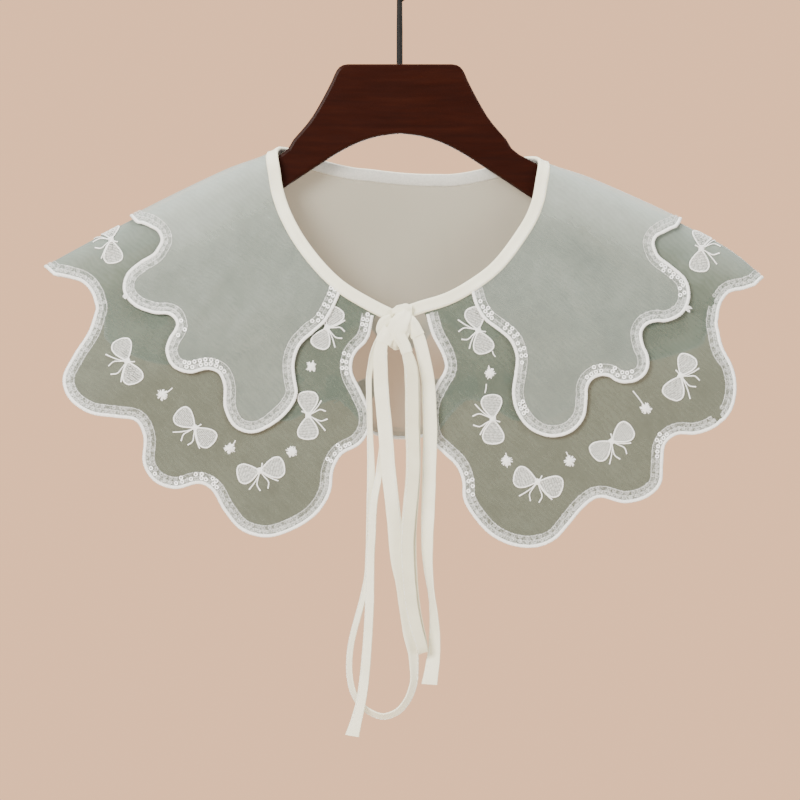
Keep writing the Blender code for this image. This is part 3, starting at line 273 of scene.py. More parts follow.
# The hem's stitching, from the edge inward: cord, then rows of thread and of sequins
CORD_WIDTH, CORD_TALL = 2.3, 1.6
CORD_PITCH = 0.52  # length of one stitch of it
CORD_IN = 0.2  # how far its outer side reaches past the edge
CORD_UNEVEN = 0.10  # changes of its width, as a share
HEM_STEP = 1.15  # spacing of the mesh along the rows inside it
FROST_LIFT, THREAD_LIFT, SEQUIN_LIFT = 0.07, 0.12, 0.35  # their heights over the organza
THREAD_ROWS = (4.0, 6.7)  # distances from the edge
THREAD_WIDE = 0.34  # a row of thread's width
THREAD_UNEVEN, THREAD_WAVE = 0.3, 0.1  # changes of its width, as a share, and of its height
FROST_ROWS = (1.6, 3.2, 4.7, 6.0, 7.2)  # the dense fine stitching between them
SEQUIN_ROWS = (3.5, 5.8)
SEQUIN_STEP, SEQUIN_APART = 2.55, 2.3  # their spacing in a row, and the least that may be
SEQUIN_R, SEQUIN_THICK, SEQUIN_SIDES = 1.25, 0.14, 12
SEQUIN_HOLE, CLEAR_HOLE = 0.52, 0.32  # radius of the hole of a sequin painted as a glint, and of a clear one
SEQUIN_CUP, SEQUIN_LEAN = 0.10, 0.16  # how far its rim stands up, and how far it may tip
SEQUIN_RING = 0.66  # where its thickest ring lies, as a share of its radius
SEQUIN_SHIFT = 0.5  # greatest spread of its place along the row
SEQUIN_CELL = 2.8  # size of the cells in which its neighbours are looked for
PAINTED_GLINT_SHARE = 0.93  # share of the sequins in those spots that are painted as glints, opaque and white
# Where sequins are painted as glints, opaque and white, for the light they catch: x, z and radius
PAINTED_GLINT_SPOTS = {
    FRONT: (
        (-115.0, -264.0, 13.0), (-124.0, -268.0, 6.0), (-128.5, -244.0, 6.0),
        (-42.0, -229.5, 17.0), (-59.0, -262.0, 6.0), (-33.0, -262.0, 8.0), (-37.0, -314.0, 11.0),
        (-121.0, -336.0, 13.0), (-150.0, -330.0, 6.0), (64.0, -252.0, 13.0),
        (158.0, -213.0, 12.0), (166.0, -219.0, 7.0), (116.0, -267.0, 12.0), (127.0, -269.0, 7.0),
        (-23.5, -239.0, 6.0), (70.6, -289.0, 4.0), (46.5, -233.0, 7.0), (152.0, -312.0, 8.0),
        (40.0, -332.0, 9.0),
    ),
    BACK: (
        (-96.0, -232.0, 12.0), (42.0, -250.0, 12.0), (128.0, -226.0, 10.0), (-60.0, -300.0, 12.0),
        (104.0, -288.0, 12.0),
    ),
}

# The embroidered bows: x, z, the turn of each one's length in degrees and its size. Its
# tails point to its own -v.
BOWS = {
    FRONT: (
        (-44.4, -242.6, 63.0, 0.95), (-55.3, -293.7, 88.0, 0.94), (-83.6, -326.2, 10.0, 1.0),
        (-121.7, -301.0, -38.0, 0.97), (-161.3, -262.5, -66.0, 1.0), (-171.8, -190.9, -77.0, 0.9),
        (44.0, -244.0, -76.0, 0.95), (52.5, -295.9, -88.5, 1.02), (79.0, -332.7, -12.0, 1.03),
        (122.3, -308.9, 35.0, 0.98), (162.5, -271.0, 62.0, 1.0), (175.8, -195.7, 85.0, 0.92),
    ),
    BACK: (
        (-152.0, -230.0, -52.0, 1.0), (-93.0, -263.0, -24.0, 0.98), (-31.0, -277.0, -6.0, 1.0),
        (31.0, -277.0, 6.0, 0.97), (93.0, -263.0, 24.0, 1.02), (152.0, -230.0, 52.0, 0.98),
    ),
}
# One leaf of a bow, its edge from the waist outward and back: (u, v)
LEAF = (
    (1.2, 0.9), (3.6, 2.9), (6.6, 4.9), (9.8, 6.1), (12.6, 5.5), (13.9, 3.2), (14.3, 0.9),
    (14.2, -1.4), (13.4, -4.2), (10.6, -5.9), (7.2, -5.2), (4.0, -3.2), (1.2, -0.9),
)
NEAR_FOLD = 39.0  # a motif closer to the fold is laid out over it, not in the front view
LEAF_SIZES, LEAF_TURNS = 0.1, 9.0  # spread of the leaves' sizes, and of their turns
LEAF_EDGE = 1.0  # width of its outline
LEAF_STEP = 0.55  # spacing of the mesh along it
LEAF_LIFT, BACKING_LIFT, FILLING_LIFT = 0.42, 0.06, 0.10  # heights over the organza
LEAF_IN = 0.2  # how far its filling keeps inside the edge
LEAF_ROW = 0.9  # spacing of the rows of stitches that fill it
LEAF_STITCH, LEAF_GAP = 2.6, 0.12  # length of one of them, and the gap to the next
# A bow's four tails and the short thread above its waist, each through these (u, v)
BOW_THREADS = (
    ((-0.6, -0.8), (-2.2, -3.6), (-5.4, -7.2), (-9.0, -10.4)),
    ((-0.4, -0.9), (-2.0, -4.2), (-3.2, -7.8), (-1.9, -11.6)),
    ((0.5, -0.9), (2.2, -4.0), (4.1, -7.6), (3.1, -11.3)),
    ((0.7, -0.8), (2.4, -3.0), (6.0, -5.8), (9.6, -7.9)),
    ((0.3, 0.8), (1.4, 2.4), (2.0, 4.2)),
)
BOW_THREAD, BOW_STEP, BOW_LIFT = 0.85, 0.6, 0.3  # their width, mesh spacing and height
# The turns of thread that bind its waist: their number, spacing and reach, and their
# heights over the organza at the ends and in the middle
WAIST_TURNS, WAIST_PITCH, WAIST_REACH = 5, 0.62, 1.7
WAIST_LOW, WAIST_HIGH = 0.35, 1.05
FAT_STITCH = (0.3, 0.42, 0.3)  # radii of a stitch that stands up in its middle

# The stitched dots: x, z and where each one's stem ends
DOTS = {
    FRONT: (
        (-140.8, -281.9, -135.0, -277.8), (-101.5, -313.2, -98.2, -308.4),
        (-65.1, -315.0, -64.6, -312.6), (-53.5, -265.4, -52.6, -261.6),
        (50.8, -269.2, 50.0, -264.6), (60.6, -320.7, 60.0, -315.8), (97.7, -320.6, 95.5, -315.2),
        (141.9, -289.8, 134.4, -279.5),
    ),
    BACK: (
        (-124.0, -248.5, -120.5, -244.2), (-62.0, -272.5, -60.5, -267.8),
        (62.0, -272.5, 60.5, -267.8), (124.0, -248.5, 120.5, -244.2),
    ),
}
DOT_R, DOT_STITCHES = 2.9, 24
DOT_LOW, DOT_HIGH, DOT_RISE = 0.1, 0.5, 0.05  # heights of a stitch's ends, of the first
# stitch's middle, and how much higher the next one's is

# Loose ends of thread on the lower tier, and tags of it at the upper tier's hem: side, x, z
# and the place where each one ends
LOOSE = ((FRONT, 48.8, -275.4, 47.9, -280.7), (FRONT, 52.3, -256.0, 54.1, -259.5))
TAGS = ((FRONT, -161.6, -224.2, -163.6, -226.8), (FRONT, 165.6, -231.4, 168.0, -233.3))
TAG_LIFT, TAG_THREADS, TAG_PITCH = 0.6, 5, 0.55  # a tag's height, threads and spacing

# The binding's section, across it as a share of its width, and heights over the cloth
TAPE_SECTION = (
    (-0.5, 1.25), (-0.47, 0.55), (-0.38, -0.05), (0.0, 0.1), (0.38, -0.05), (0.47, 0.55),
    (0.5, 1.25), (0.48, 1.95), (0.40, 2.5), (0.26, 2.55), (0.08, 2.3), (-0.10, 2.28),
    (-0.28, 2.5), (-0.41, 2.5), (-0.48, 1.95),
)
BINDING_STEP = 2.2  # spacing of its mesh
BINDING_ENDS = ((FRONT, -4.6, -236.6), (FRONT, -2.2, -235.6))  # inside the knot
SEAM_STITCH, SEAM_PITCH, SEAM_WIDE = 1.9, 2.7, 0.36  # stitches of a machine-sewn seam
BINDING_SEAM, SEAM_LIFT = 0.33, 2.52  # where that seam lies across and over the binding

# A tie's section, across it and through it as shares of its width and thickness
TIE_FACE = (
    (-0.5, 0.0), (-0.475, 0.40), (-0.40, 0.5), (-0.2, 0.36), (0.05, 0.32), (0.25, 0.38),
    (0.40, 0.5), (0.475, 0.40),
)
TIE_SECTION = (*TIE_FACE, *((-u, -h) for u, h in TIE_FACE))
TIE_STEP = 2.0  # spacing of its mesh
TIE_SEAM, TIE_SEAM_LIFT = 0.36, 0.47  # its seam, across it and through it as such shares
# A cut end: the rings that it takes in, how much thicker and (each time) wider they are,
# and how far the last one slants, as a share of its width
CUT_ROWS, CUT_THICK, CUT_WIDE, CUT_SLANT = 4, 1.35, 0.03, 0.9

# The knot: wraps of the same tape, each a row of places along it with its half width and
# half depth there
KNOT_WRAPS = (
    # the turn that lies across at the top
    (
        (-6.0, -34.0, -233.4, 2.0, 1.8), (-2.6, -34.6, -232.6, 3.2, 2.3),
        (1.4, -34.9, -232.0, 3.5, 2.4), (5.0, -34.4, -232.0, 2.4, 2.0),
    ),
    # the turn over the front, down to the point below
    (
        (2.5, -36.3, -233.6, 3.2, 2.2), (0.4, -38.4, -237.6, 5.4, 2.8),
        (-2.4, -39.7, -242.4, 6.8, 3.0), (-4.1, -39.6, -247.2, 6.4, 2.9),
        (-4.4, -38.4, -251.6, 4.2, 2.4), (-4.0, -37.0, -255.0, 1.6, 1.5),
    ),
    # the turn at the left, round behind the left strands
    (
        (-6.6, -36.4, -237.2, 3.0, 2.2), (-10.4, -36.8, -239.6, 3.8, 2.4),
        (-12.9, -36.2, -243.2, 2.8, 2.4), (-12.6, -35.6, -246.6, 2.2, 2.2),
    ),
    # the right tail's way out
    (
        (0.6, -37.0, -236.6, 3.0, 2.0), (3.8, -37.8, -239.4, 3.8, 2.2),
        (6.6, -38.1, -243.2, 3.9, 1.8), (8.7, -38.5, -247.4, 4.0, 1.1),
    ),
    # the left strands' way out
    (
        (-7.6, -39.8, -243.6, 4.0, 1.9), (-9.8, -41.0, -247.4, 4.5, 1.5),
        (-11.6, -41.7, -251.6, 4.4, 1.0),
    ),
    # the right loop's way out
    (
        (-3.4, -40.6, -244.6, 3.2, 1.8), (-1.6, -41.9, -248.4, 3.6, 1.5),
        (1.0, -42.7, -252.8, 3.2, 1.1), (2.4, -43.1, -257.2, 3.2, 0.8),
    ),
)
KNOT_FOLDS, FOLD_DEEP = 5, 0.11  # soft folds round each wrap, and their depth as a share
FINE_FOLDS, FINE_DEEP = 9, 0.05  # and finer ones
WRAP_SQUARE = 0.8  # below 1 a wrap's section is squarer than an ellipse
WRAP_SIDES, WRAP_STEPS = 28, 7  # points round a wrap, and rings between two of its places

# The width of the view at the collar, its middle, and the camera's distance
VIEW_WIDTH = 470.4
VIEW_X, VIEW_Z = -1.76, -284.8
VIEW_Y = -18.0
VIEW_AWAY = 3200.0
SENSOR = 36.0
CLIP_END = 50.0  # in metres

# The stage, in metres: each light has a place, a target, a size, watts and a colour
BACKDROP = (1.45, 0.83, 0.48)
FLOOR_COLOUR = (0.80, 0.66, 0.55)
AMBIENT = (1.0, 0.98, 0.93)
AMBIENT_STRENGTH = 0.72
FLOOR_R, FLOOR_Z, FLOOR_SIDES = 2.0, -1.15, 64
LIGHTS = (
    ("key", (-1.1, -1.7, 0.55), (0.0, 0.0, -0.25), 0.9, 88.0, (1.0, 0.97, 0.90)),
    ("fill", (1.5, -1.6, -0.1), (0.0, 0.0, -0.25), 1.3, 33.0, (1.0, 0.98, 0.92)),
    ("top", (0.1, 0.15, 1.3), (0.0, 0.0, -0.2), 0.9, 40.0, (1.0, 0.99, 0.95)),
    ("behind", (0.4, 1.9, 0.1), (0.0, 0.0, -0.25), 1.2, 26.0, (1.0, 0.97, 0.92)),
)
# The organza's colours: in its darker spots, in between, a painted highlight on the shoulder fold,
# and a paler painted glow of light through the cloth behind
LOWER_CLOTH = ((0.058, 0.080, 0.060), (0.104, 0.132, 0.100), (0.23, 0.27, 0.24), (0.40, 0.40, 0.34))
UPPER_CLOTH = (
    (0.190, 0.218, 0.190), (0.278, 0.310, 0.273), (0.48, 0.53, 0.495), (0.62, 0.605, 0.51),
)
LOWER_COVER, UPPER_COVER = (0.74, 0.46), (0.50, 0.38)  # how dense it is in front and behind; the thinner cover behind is part of that painted glow
FOLD_HIGHLIGHT_BAND = 52.0  # height below the shoulder fold that its painted highlight reaches down to


# ---- the drape ------------------------------------------------------------------------
def smooth(t):
    """0 below 0, 1 above 1, and a soft S between them."""
    t = min(1.0, max(0.0, t))
    return t * t * (3.0 - 2.0 * t)


def fold_height(x):
    """The height of the shoulder fold."""
    away = math.sqrt(x * x + FOLD_ROUND * FOLD_ROUND)
    out = away - FOLD_X
    near = NECK_BLEND * math.log1p(math.exp(-out / NECK_BLEND))
    curved = FOLD_CURVE * max(0.0, out) ** 2 + DROOP * max(0.0, x - DROOP_X) ** 2
    level = smooth(out / (TILT_END - FOLD_X))
    lean = max(-1.0, min(1.0, x / FOLD_X))
    tilt = NECK_TILT * lean * (1.5 - 0.5 * lean * lean) * (1.0 - level)
    return FOLD_Z - FOLD_SLOPE * out - curved + NECK_SLOPE * near - tilt


def fold_stretch(x):
    """How much longer the shoulder's slope makes a way straight down."""
    slope = fold_height(x + 0.5) - fold_height(x - 0.5)
    return math.sqrt(1.0 + slope * slope)


def on_cloth(side, x, z):
    """The cloth's (x, s) at a place given in the front view."""
    if side == TOP:
        return (x, 0.0)
    down = max(0.0, (fold_height(x) - z) / fold_stretch(x))
    if down < FOLD_R:
        way = FOLD_R * math.acos(1.0 - down / FOLD_R)
    else:
        way = FOLD_R * math.pi / 2 + down - FOLD_R
    return (x, side * way)


def crease_height(side, x, z):
    """How far the soft folds move the cloth out at a place in the front view."""
    total = 0.0
    for x_top, z_top, x_end, z_end, width, height in CREASES[side]:
        run_x, run_z = x_end - x_top, z_end - z_top
        along = ((x - x_top) * run_x + (z - z_top) * run_z) / (run_x**2 + run_z**2)
        near = min(1.0, max(0.0, along))
        off = math.hypot(x - x_top - near * run_x, z - z_top - near * run_z)
        total += height * smooth(along * CREASE_RISE) * math.exp(-((off / width) ** 2))
    return total


def skin(x, s):
    """The cloth's inner face at (x, s)."""
    side = FRONT if s >= 0.0 else BACK
    way, quarter = abs(s), FOLD_R * math.pi / 2
    if way < quarter:
        down, out = FOLD_R * (1.0 - math.cos(way / FOLD_R)), FOLD_R * math.sin(way / FOLD_R)
    else:
        down = FOLD_R + way - quarter
        out = FOLD_R + FLARE[side] * smooth((down - FOLD_R) / FLARE_LENGTH)
    z = fold_height(x) - down * fold_stretch(x)
    out += crease_height(side, x, z)
    return Vector((x, -side * out, z))


def ways(x, s):
    """The cloth's two directions at (x, s), along x and along s, for each mm of them."""
    e = 0.5
    return skin(x + e, s) - skin(x - e, s), skin(x, s + e) - skin(x, s - e)


def drape(x, s, lift=0.0):
    """A point of the cloth, lift mm outside its inner face."""
    along, down = ways(x, s)
    return skin(x, s) + down.cross(along).normalized() * lift


def step_on(x, s, wanted):
    """The change of (x, s) that moves a point of the cloth by wanted, a vector along it."""
    along, down = ways(x, s)
    a, b, c = along.dot(along), along.dot(down), down.dot(down)
    p, q = wanted.dot(along), wanted.dot(down)
    return Vector(((p * c - q * b), (q * a - p * b))) / (a * c - b * b)


# ---- curves in the plane --------------------------------------------------------------
def bend(a, b, c, d, t):
    """The point at t on a smooth curve from b to c that a comes before and d follows."""
    ab, bc, cd = (max(1e-6, (q - p).length) ** 0.5 for p, q in ((a, b), (b, c), (c, d)))
    leave = ((b - a) / ab - (c - a) / (ab + bc) + (c - b) / bc) * bc
    reach = ((c - b) / bc - (d - b) / (bc + cd) + (d - c) / cd) * bc
    return (
        b * (2 * t**3 - 3 * t**2 + 1)
        + leave * (t**3 - 2 * t**2 + t)
        + c * (3 * t**2 - 2 * t**3)
        + reach * (t**3 - t**2)
    )


def open_ended(points):
    """The points as vectors, with one more straight on past each end."""
    knots = [Vector(p) for p in points]
    return [2 * knots[0] - knots[1], *knots, 2 * knots[-1] - knots[-2]]


def spline(points, spacing):
    """Points on a smooth curve through all the points given, about that far apart."""
    knots = open_ended(points)
    fine = [
        bend(*four, k / FINE)
        for four in zip(knots, knots[1:], knots[2:], knots[3:])
        for k in range(FINE)
    ]
    fine.append(knots[-2])
    steps = [(q - p).length / spacing for p, q in zip(fine, fine[1:])]
    count = max(2, round(sum(steps)))
    unit, out, gone = sum(steps) / count, [], 0.0
    for p, q, part in zip(fine, fine[1:], steps):
        while len(out) < count and len(out) * unit <= gone + part:
            out.append(p.lerp(q, (len(out) * unit - gone) / part))
        gone += part
    return [*out, fine[-1]]


def sideways(points, distance):
    """Places on the cloth moved that far over it, to the left of the way they run."""
    moved = []
    for i, p in enumerate(points):
        way = points[min(i + 1, len(points) - 1)] - points[max(i - 1, 0)]
        along, down = ways(p.x, p.y)
        ahead = (along * way.x + down * way.y).normalized()
        left = down * way.x - along * way.y
        left = (left - ahead * left.dot(ahead)).normalized()
        moved.append(p + step_on(p.x, p.y, left * distance))
    return moved


def inside(point, polygon):
    """Whether a point of the plane lies inside a closed outline."""
    odd = False
    for a, b in zip(polygon, [*polygon[1:], polygon[0]]):
        if (a.y > point.y) != (b.y > point.y):
            if point.x < a.x + (point.y - a.y) / (b.y - a.y) * (b.x - a.x):
                odd = not odd
    return odd


# ---- outlines of the tiers ------------------------------------------------------------
def neck_curve(step, rows=NECKLINE):
    """The binding's middle line on the cloth, from the left front end to the right."""
    return spline([on_cloth(*row) for row in rows], step)


def scallop(notch, crest, end, breadth):
    """A scallop's points after its notch: half an ellipse on two short sides."""
    notch, crest, end = Vector(notch), Vector(crest), Vector(end)
    middle, chord = (notch + end) / 2, (end - notch).normalized()
    points = []
    for angle in SCALLOP_ANGLES:
        out = SCALLOP_SIDE + (1.0 - SCALLOP_SIDE) * math.sin(math.radians(angle))
        across = math.cos(math.radians(angle)) * breadth / 2
        points.append(middle + (crest - middle) * out + chord * across)
    return points


def in_view(side, rows):
    """Places on the cloth along a smooth line through places given in the front view."""
    line = spline([Vector(row) for row in rows], VIEW_STEP)
    return [Vector(on_cloth(side, p.x, p.y)) for p in line]


def back_hem(shape, reach, left_notch, right_notch):
    """The hem's places on the back, between its notches at the two shoulders."""
    wide, deep = shape["half_width"], shape["depth"]
    first = math.acos(reach / wide)
    spaces = 2 * (shape["between"] + 1)
    step = (math.pi - 2 * first) / spaces

    def at(angle, shallower):
        x = -(wide - shallower * wide / deep) * math.cos(angle)
        return Vector((x, BACK_CENTRE_Z - (deep - shallower) * math.sin(angle)))

    inner = [at(first + step * (k + 0.5), shape["notch"]) for k in range(1, spaces - 1)]
    notches = [Vector(left_notch), *inner, Vector(right_notch)]
    rows = []
    for k, (notch, end) in enumerate(zip(notches, notches[1:])):
        rows.append(notch)
        crest = at(first + step * (k + 1), 0.0)
        rows += scallop(notch, crest, end, BACK_BREADTH * (end - notch).length)
    return in_view(BACK, [*rows, notches[-1]])


def over_shoulder(notch, rows, reach):
    """The scallop that turns over a shoulder, from after its front notch to its back one."""
    front = in_view(FRONT, [notch, *rows])
    return [*front[1:], Vector((reach, 0.0)), *[Vector((p.x, -p.y)) for p in reversed(front)]]


def hem_points(tier):
    """Places all along a tier's hem on the cloth, from the left front edge to the right."""
    left, right = tier["front_left"], tier["front_right"]
    left_reach, right_reach = tier["reach"]
    turn = over_shoulder(left[-1], tier["shoulder_left"], left_reach)
    end = over_shoulder(right[-1], tier["shoulder_right"], right_reach)
    back = back_hem(tier["back"], (right_reach - left_reach) / 2, left[-1], right[-1])
    return [
        *in_view(FRONT, left),
        *turn,
        *back[1:-1],
        *reversed(end),
        *reversed(in_view(FRONT, right)),
    ]


def finer(rows, count_of, ease=lambda t: t):
    """Rows of a place and two values with more rows between them, count_of a gap's length."""
    knots = open_ended([row[0] for row in rows])
    found = []
    for i, (row, after) in enumerate(zip(rows, rows[1:])):
        count = max(1, count_of((knots[i + 2] - knots[i + 1]).length))
        for t in (k / count for k in range(count)):
            one, two = (row[n] + (after[n] - row[n]) * ease(t) for n in (1, 2))
            found.append((bend(*knots[i : i + 4], t), one, two))
    return [*found, rows[-1]]


def with_places(rows):
    """The rows of a table with their first three numbers as one place."""
    return [(Vector(row[:3]), *row[3:]) for row in rows]


# ---- building with threads ------------------------------------------------------------
def tree_of(places):
    """A tree that finds the nearest of these places."""
    tree = kdtree.KDTree(len(places))
    for i, p in enumerate(places):
        tree.insert(p.to_3d(), i)
    tree.balance()
    return tree


# Any large and uneven numbers would do for these.
ROUGH_FACTORS, ROUGH_SPREAD = (12.9898, 78.233, 37.719), 43758.5453


def rough(*numbers):
    """A fixed number from 0 to 1 for each set of numbers, for unevenness."""
    value = math.sin(sum(n * f for n, f in zip(numbers, ROUGH_FACTORS))) * ROUGH_SPREAD
    return value - math.floor(value)


class Pieces:
    """Points in millimetres and faces of many small pieces that become one mesh."""

    def __init__(self):
        self.points, self.faces, self.slots = [], [], []
        self.slot = 0

    def add(self, points, faces):
        first = len(self.points)
        self.points += points
        self.faces += [tuple(first + i for i in face) for face in faces]
        self.slots += [self.slot] * len(faces)


def tube_faces(count, sides, closed=False):
    """The faces between rings of points, with a cap at each end unless they close."""
    faces = []
    for i in range(count if closed else count - 1):
        here, there = i * sides, (i + 1) % count * sides
        for k in range(sides):
            after = (k + 1) % sides
            faces.append((here + k, here + after, there + after, there + k))
    if not closed:
        faces.append(tuple(reversed(range(sides))))
        faces.append(tuple((count - 1) * sides + k for k in range(sides)))
    return faces


def around(sides):
    """The angles of the corners of a ring."""
    return [2 * math.pi * k / sides for k in range(sides)]


def thread(pieces, points, normals, radii, sides=6, flat=1.0):
    """A thread through points that lies on a surface with those normals."""
    rings, count = [], len(points)
    for i, (p, normal, radius) in enumerate(zip(points, normals, radii)):
        way = points[min(i + 1, count - 1)] - points[max(i - 1, 0)]
        across = way.cross(normal).normalized()
        up = across.cross(way).normalized()
        for angle in around(sides):
            high = up * math.sin(angle) * radius * flat
            rings.append(p + across * math.cos(angle) * radius + high)
    pieces.add(rings, tube_faces(count, sides))


def twist(i, low=0.84):
    """How thick a wound thread is at its i-th place, as a share."""
    return 1.0 if i % 2 else low


def stitch(pieces, start, end, normal, radius, sides=5):
    """One short stitch from start to end, its ends sunk a little into the cloth."""
    # how far along, how high and how wide it is there, in radii
    places = ((0.0, 0.0, 0.45), (0.22, 0.9, 1.0), (0.78, 0.9, 1.0), (1.0, 0.0, 0.45))
    points = [start.lerp(end, t) + normal * radius * high for t, high, _ in places]
    thread(pieces, points, [normal] * 4, [radius * wide for _, _, wide in places], sides)


def on(place, lift):
    """The point that lift mm over the cloth at (x, s), and the cloth's normal there."""
    along, down = ways(*place)
    normal = down.cross(along).normalized()
    return skin(*place) + normal * lift, normal


def laid(places, lifts):
    """The points over places on the cloth, each at its height, and the normals there."""
    found = [on(p, lift) for p, lift in zip(places, lifts)]
    return [p for p, _ in found], [n for _, n in found]


def in_scene(name, data):
    """A new object of the scene with that name and data."""
    made = bpy.data.objects.new(name, data)
    bpy.context.scene.collection.objects.link(made)
    return made


def make(name, pieces, wanted, replaces=(), smooth=40.0):
    """The scene's object of that name with the wanted looks, on the frame's one body."""
    mesh = bpy.data.meshes.new(name)
    mesh.from_pydata([p * MM for p in pieces.points], [], pieces.faces)
    for look in wanted:
        mesh.materials.append(looks[look])
    if len(wanted) > 1:
        mesh.polygons.foreach_set("material_index", pieces.slots)
    mesh.shade_smooth()
    mesh.set_sharp_from_angle(angle=math.radians(smooth))
    made = in_scene(name, mesh)
    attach(made, "root")
    if replaces:
        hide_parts(*replaces)
    return made


# ---- materials ------------------------------------------------------------------------
looks = {}  # each material by its name


class Shade:
    """A Principled material and short ways to add nodes to it."""

    def __init__(self, name, colour, rough_, **sockets):
        looks[name] = bpy.data.materials.new(name)
        looks[name].use_nodes = True
        tree = looks[name].node_tree
        self.nodes, self.links = tree.nodes, tree.links
        self.shader = self.nodes["Principled BSDF"]
        self.shader.inputs["Base Color"].default_value = (*colour, 1.0)
        self.shader.inputs["Roughness"].default_value = rough_
        for socket, value in sockets.items():
            self.shader.inputs[socket.replace("_", " ")].default_value = value
        self.place = self.nodes.new("ShaderNodeTexCoord").outputs["Object"]

    def node(self, kind, **values):
        made = self.nodes.new(kind)
        for name, value in values.items():
            if name in made.inputs:
                made.inputs[name].default_value = value
            else:
                setattr(made, name, value)
        return made

    def scaled(self, x, y, z):
        mapping = self.node("ShaderNodeMapping")
        mapping.inputs["Scale"].default_value = (x, y, z)
        self.links.new(self.place, mapping.inputs["Vector"])
        return mapping.outputs["Vector"]

    def noise(self, scale, detail=3.0, roughness=0.55, vector=None):
        made = self.node("ShaderNodeTexNoise", Scale=scale, Detail=detail, Roughness=roughness)
        self.links.new(vector or self.place, made.inputs["Vector"])
        return made.outputs["Fac"]

    def bands(self, axis, scale, distortion=0.4):
        made = self.node(
            "ShaderNodeTexWave", bands_direction=axis, Scale=scale, Distortion=distortion
        )
        self.links.new(self.place, made.inputs["Vector"])
        return made.outputs["Fac"]

    def mix(self, how, a, b):
        made = self.node("ShaderNodeMath", operation=how)
        for socket, value in ((0, a), (1, b)):
            if isinstance(value, (int, float)):
                made.inputs[socket].default_value = value
            else:
                self.links.new(value, made.inputs[socket])
        return made.outputs[0]

    def colours(self, factor, *stops):
        ramp = self.node("ShaderNodeValToRGB")
        elements = ramp.color_ramp.elements
        while len(elements) < len(stops):
            elements.new(0.5)
        for element, (position, colour) in zip(elements, stops):
            element.position = position
            element.color = (*colour, 1.0)
        self.links.new(factor, ramp.inputs["Fac"])
        self.links.new(ramp.outputs["Color"], self.shader.inputs["Base Color"])

    def spread(self, factor, socket, low, high):
        made = self.node("ShaderNodeMapRange", **{"To Min": low, "To Max": high})
        self.links.new(factor, made.inputs["Value"])
        self.links.new(made.outputs["Result"], self.shader.inputs[socket])

    def ease(self, value, low, high):
        """0 below low, 1 above high, and smooth between them."""
        ends = {"From Min": low, "From Max": high}
        made = self.node("ShaderNodeMapRange", interpolation_type="SMOOTHSTEP", **ends)
        self.links.new(value, made.inputs["Value"])
        return made.outputs["Result"]

    def bump(self, height, strength, distance):
        made = self.node("ShaderNodeBump", Strength=strength, Distance=distance)
        self.links.new(height, made.inputs["Height"])
        self.links.new(made.outputs["Normal"], self.shader.inputs["Normal"])


def weave(shade, scale, strength, distance, mottle):
    """Crossed threads as relief, and a faint mottle in the colour."""
    over = shade.bands("X", scale)
    under = shade.bands("Z", scale)
    shade.bump(shade.mix("ADD", over, under), strength, distance)
    return shade.noise(mottle, 4.0, 0.6)


def organza(name, dark, light, pale, back, alpha, backlit_alpha):
    """Sheer cloth, with a painted highlight where it turns over the shoulders and a paler, thinner
    painted glow of light through it behind them.
    """
    shade = Shade(
        name, light, 0.62, Sheen_Weight=0.25, Sheen_Roughness=0.4, Specular_IOR_Level=0.35
    )
    weave(shade, 780.0, 0.12, 0.00012, 90.0)
    split = shade.node("ShaderNodeSeparateXYZ")
    shade.links.new(shade.place, split.inputs[0])
    out = shade.mix("ABSOLUTE", split.outputs["X"], 0.0)
    height = shade.mix("ADD", split.outputs["Z"], shade.mix("MULTIPLY", out, FOLD_SLOPE))
    # painted highlight: paler close below the shoulder fold
    top = (FOLD_Z + FOLD_SLOPE * FOLD_X) * MM
    near = shade.ease(height, top - FOLD_HIGHLIGHT_BAND * MM, top)
    # on the back, colour and cover change to a painted glow of light through the cloth
    behind = shade.ease(split.outputs["Y"], -0.004, 0.009)
    fine = shade.mix("MULTIPLY", shade.noise(150.0, 4.0, 0.65), 0.30)
    large = shade.mix("MULTIPLY", shade.noise(28.0, 3.0, 0.55), 0.34)
    moire = shade.mix("MULTIPLY", shade.bands("DIAGONAL", 150.0, 6.0), 0.06)
    mottle = shade.mix("ADD", shade.mix("ADD", fine, large), moire)
    # the mottle plus the painted highlight near the fold; the palest colour is that highlight
    both = shade.mix("ADD", mottle, shade.mix("MULTIPLY", near, 0.62))
    shade.colours(both, (0.20, dark), (0.48, light), (1.0, pale))
    blend = shade.node("ShaderNodeMix", data_type="RGBA")
    blend.inputs[7].default_value = (*back, 1.0)
    shade.links.new(behind, blend.inputs[0])
    shade.links.new(shade.shader.inputs["Base Color"].links[0].from_socket, blend.inputs[6])
    shade.links.new(blend.outputs[2], shade.shader.inputs["Base Color"])
    shade.spread(behind, "Alpha", alpha, backlit_alpha)
    shade.spread(shade.noise(40.0), "Roughness", 0.52, 0.72)


def tape_cloth(name, low, high):
    """Woven tape."""
    shade = Shade(name, high, 0.72, Sheen_Weight=0.2, Sheen_Roughness=0.5)
    mottle = weave(shade, 620.0, 0.25, 0.00015, 60.0)
    shade.colours(mottle, (0.3, low), (0.7, high))
    shade.spread(shade.noise(300.0), "Roughness", 0.62, 0.82)


def sewing(name, low, high):
    """Shining thread."""
    shade = Shade(name, high, 0.5, Sheen_Weight=0.3, Sheen_Roughness=0.4)
    fine = shade.noise(900.0, 2.0)
    shade.colours(fine, (0.3, low), (0.7, high))
    shade.spread(shade.noise(500.0), "Roughness", 0.38, 0.6)
    shade.bump(fine, 0.3, 0.0001)


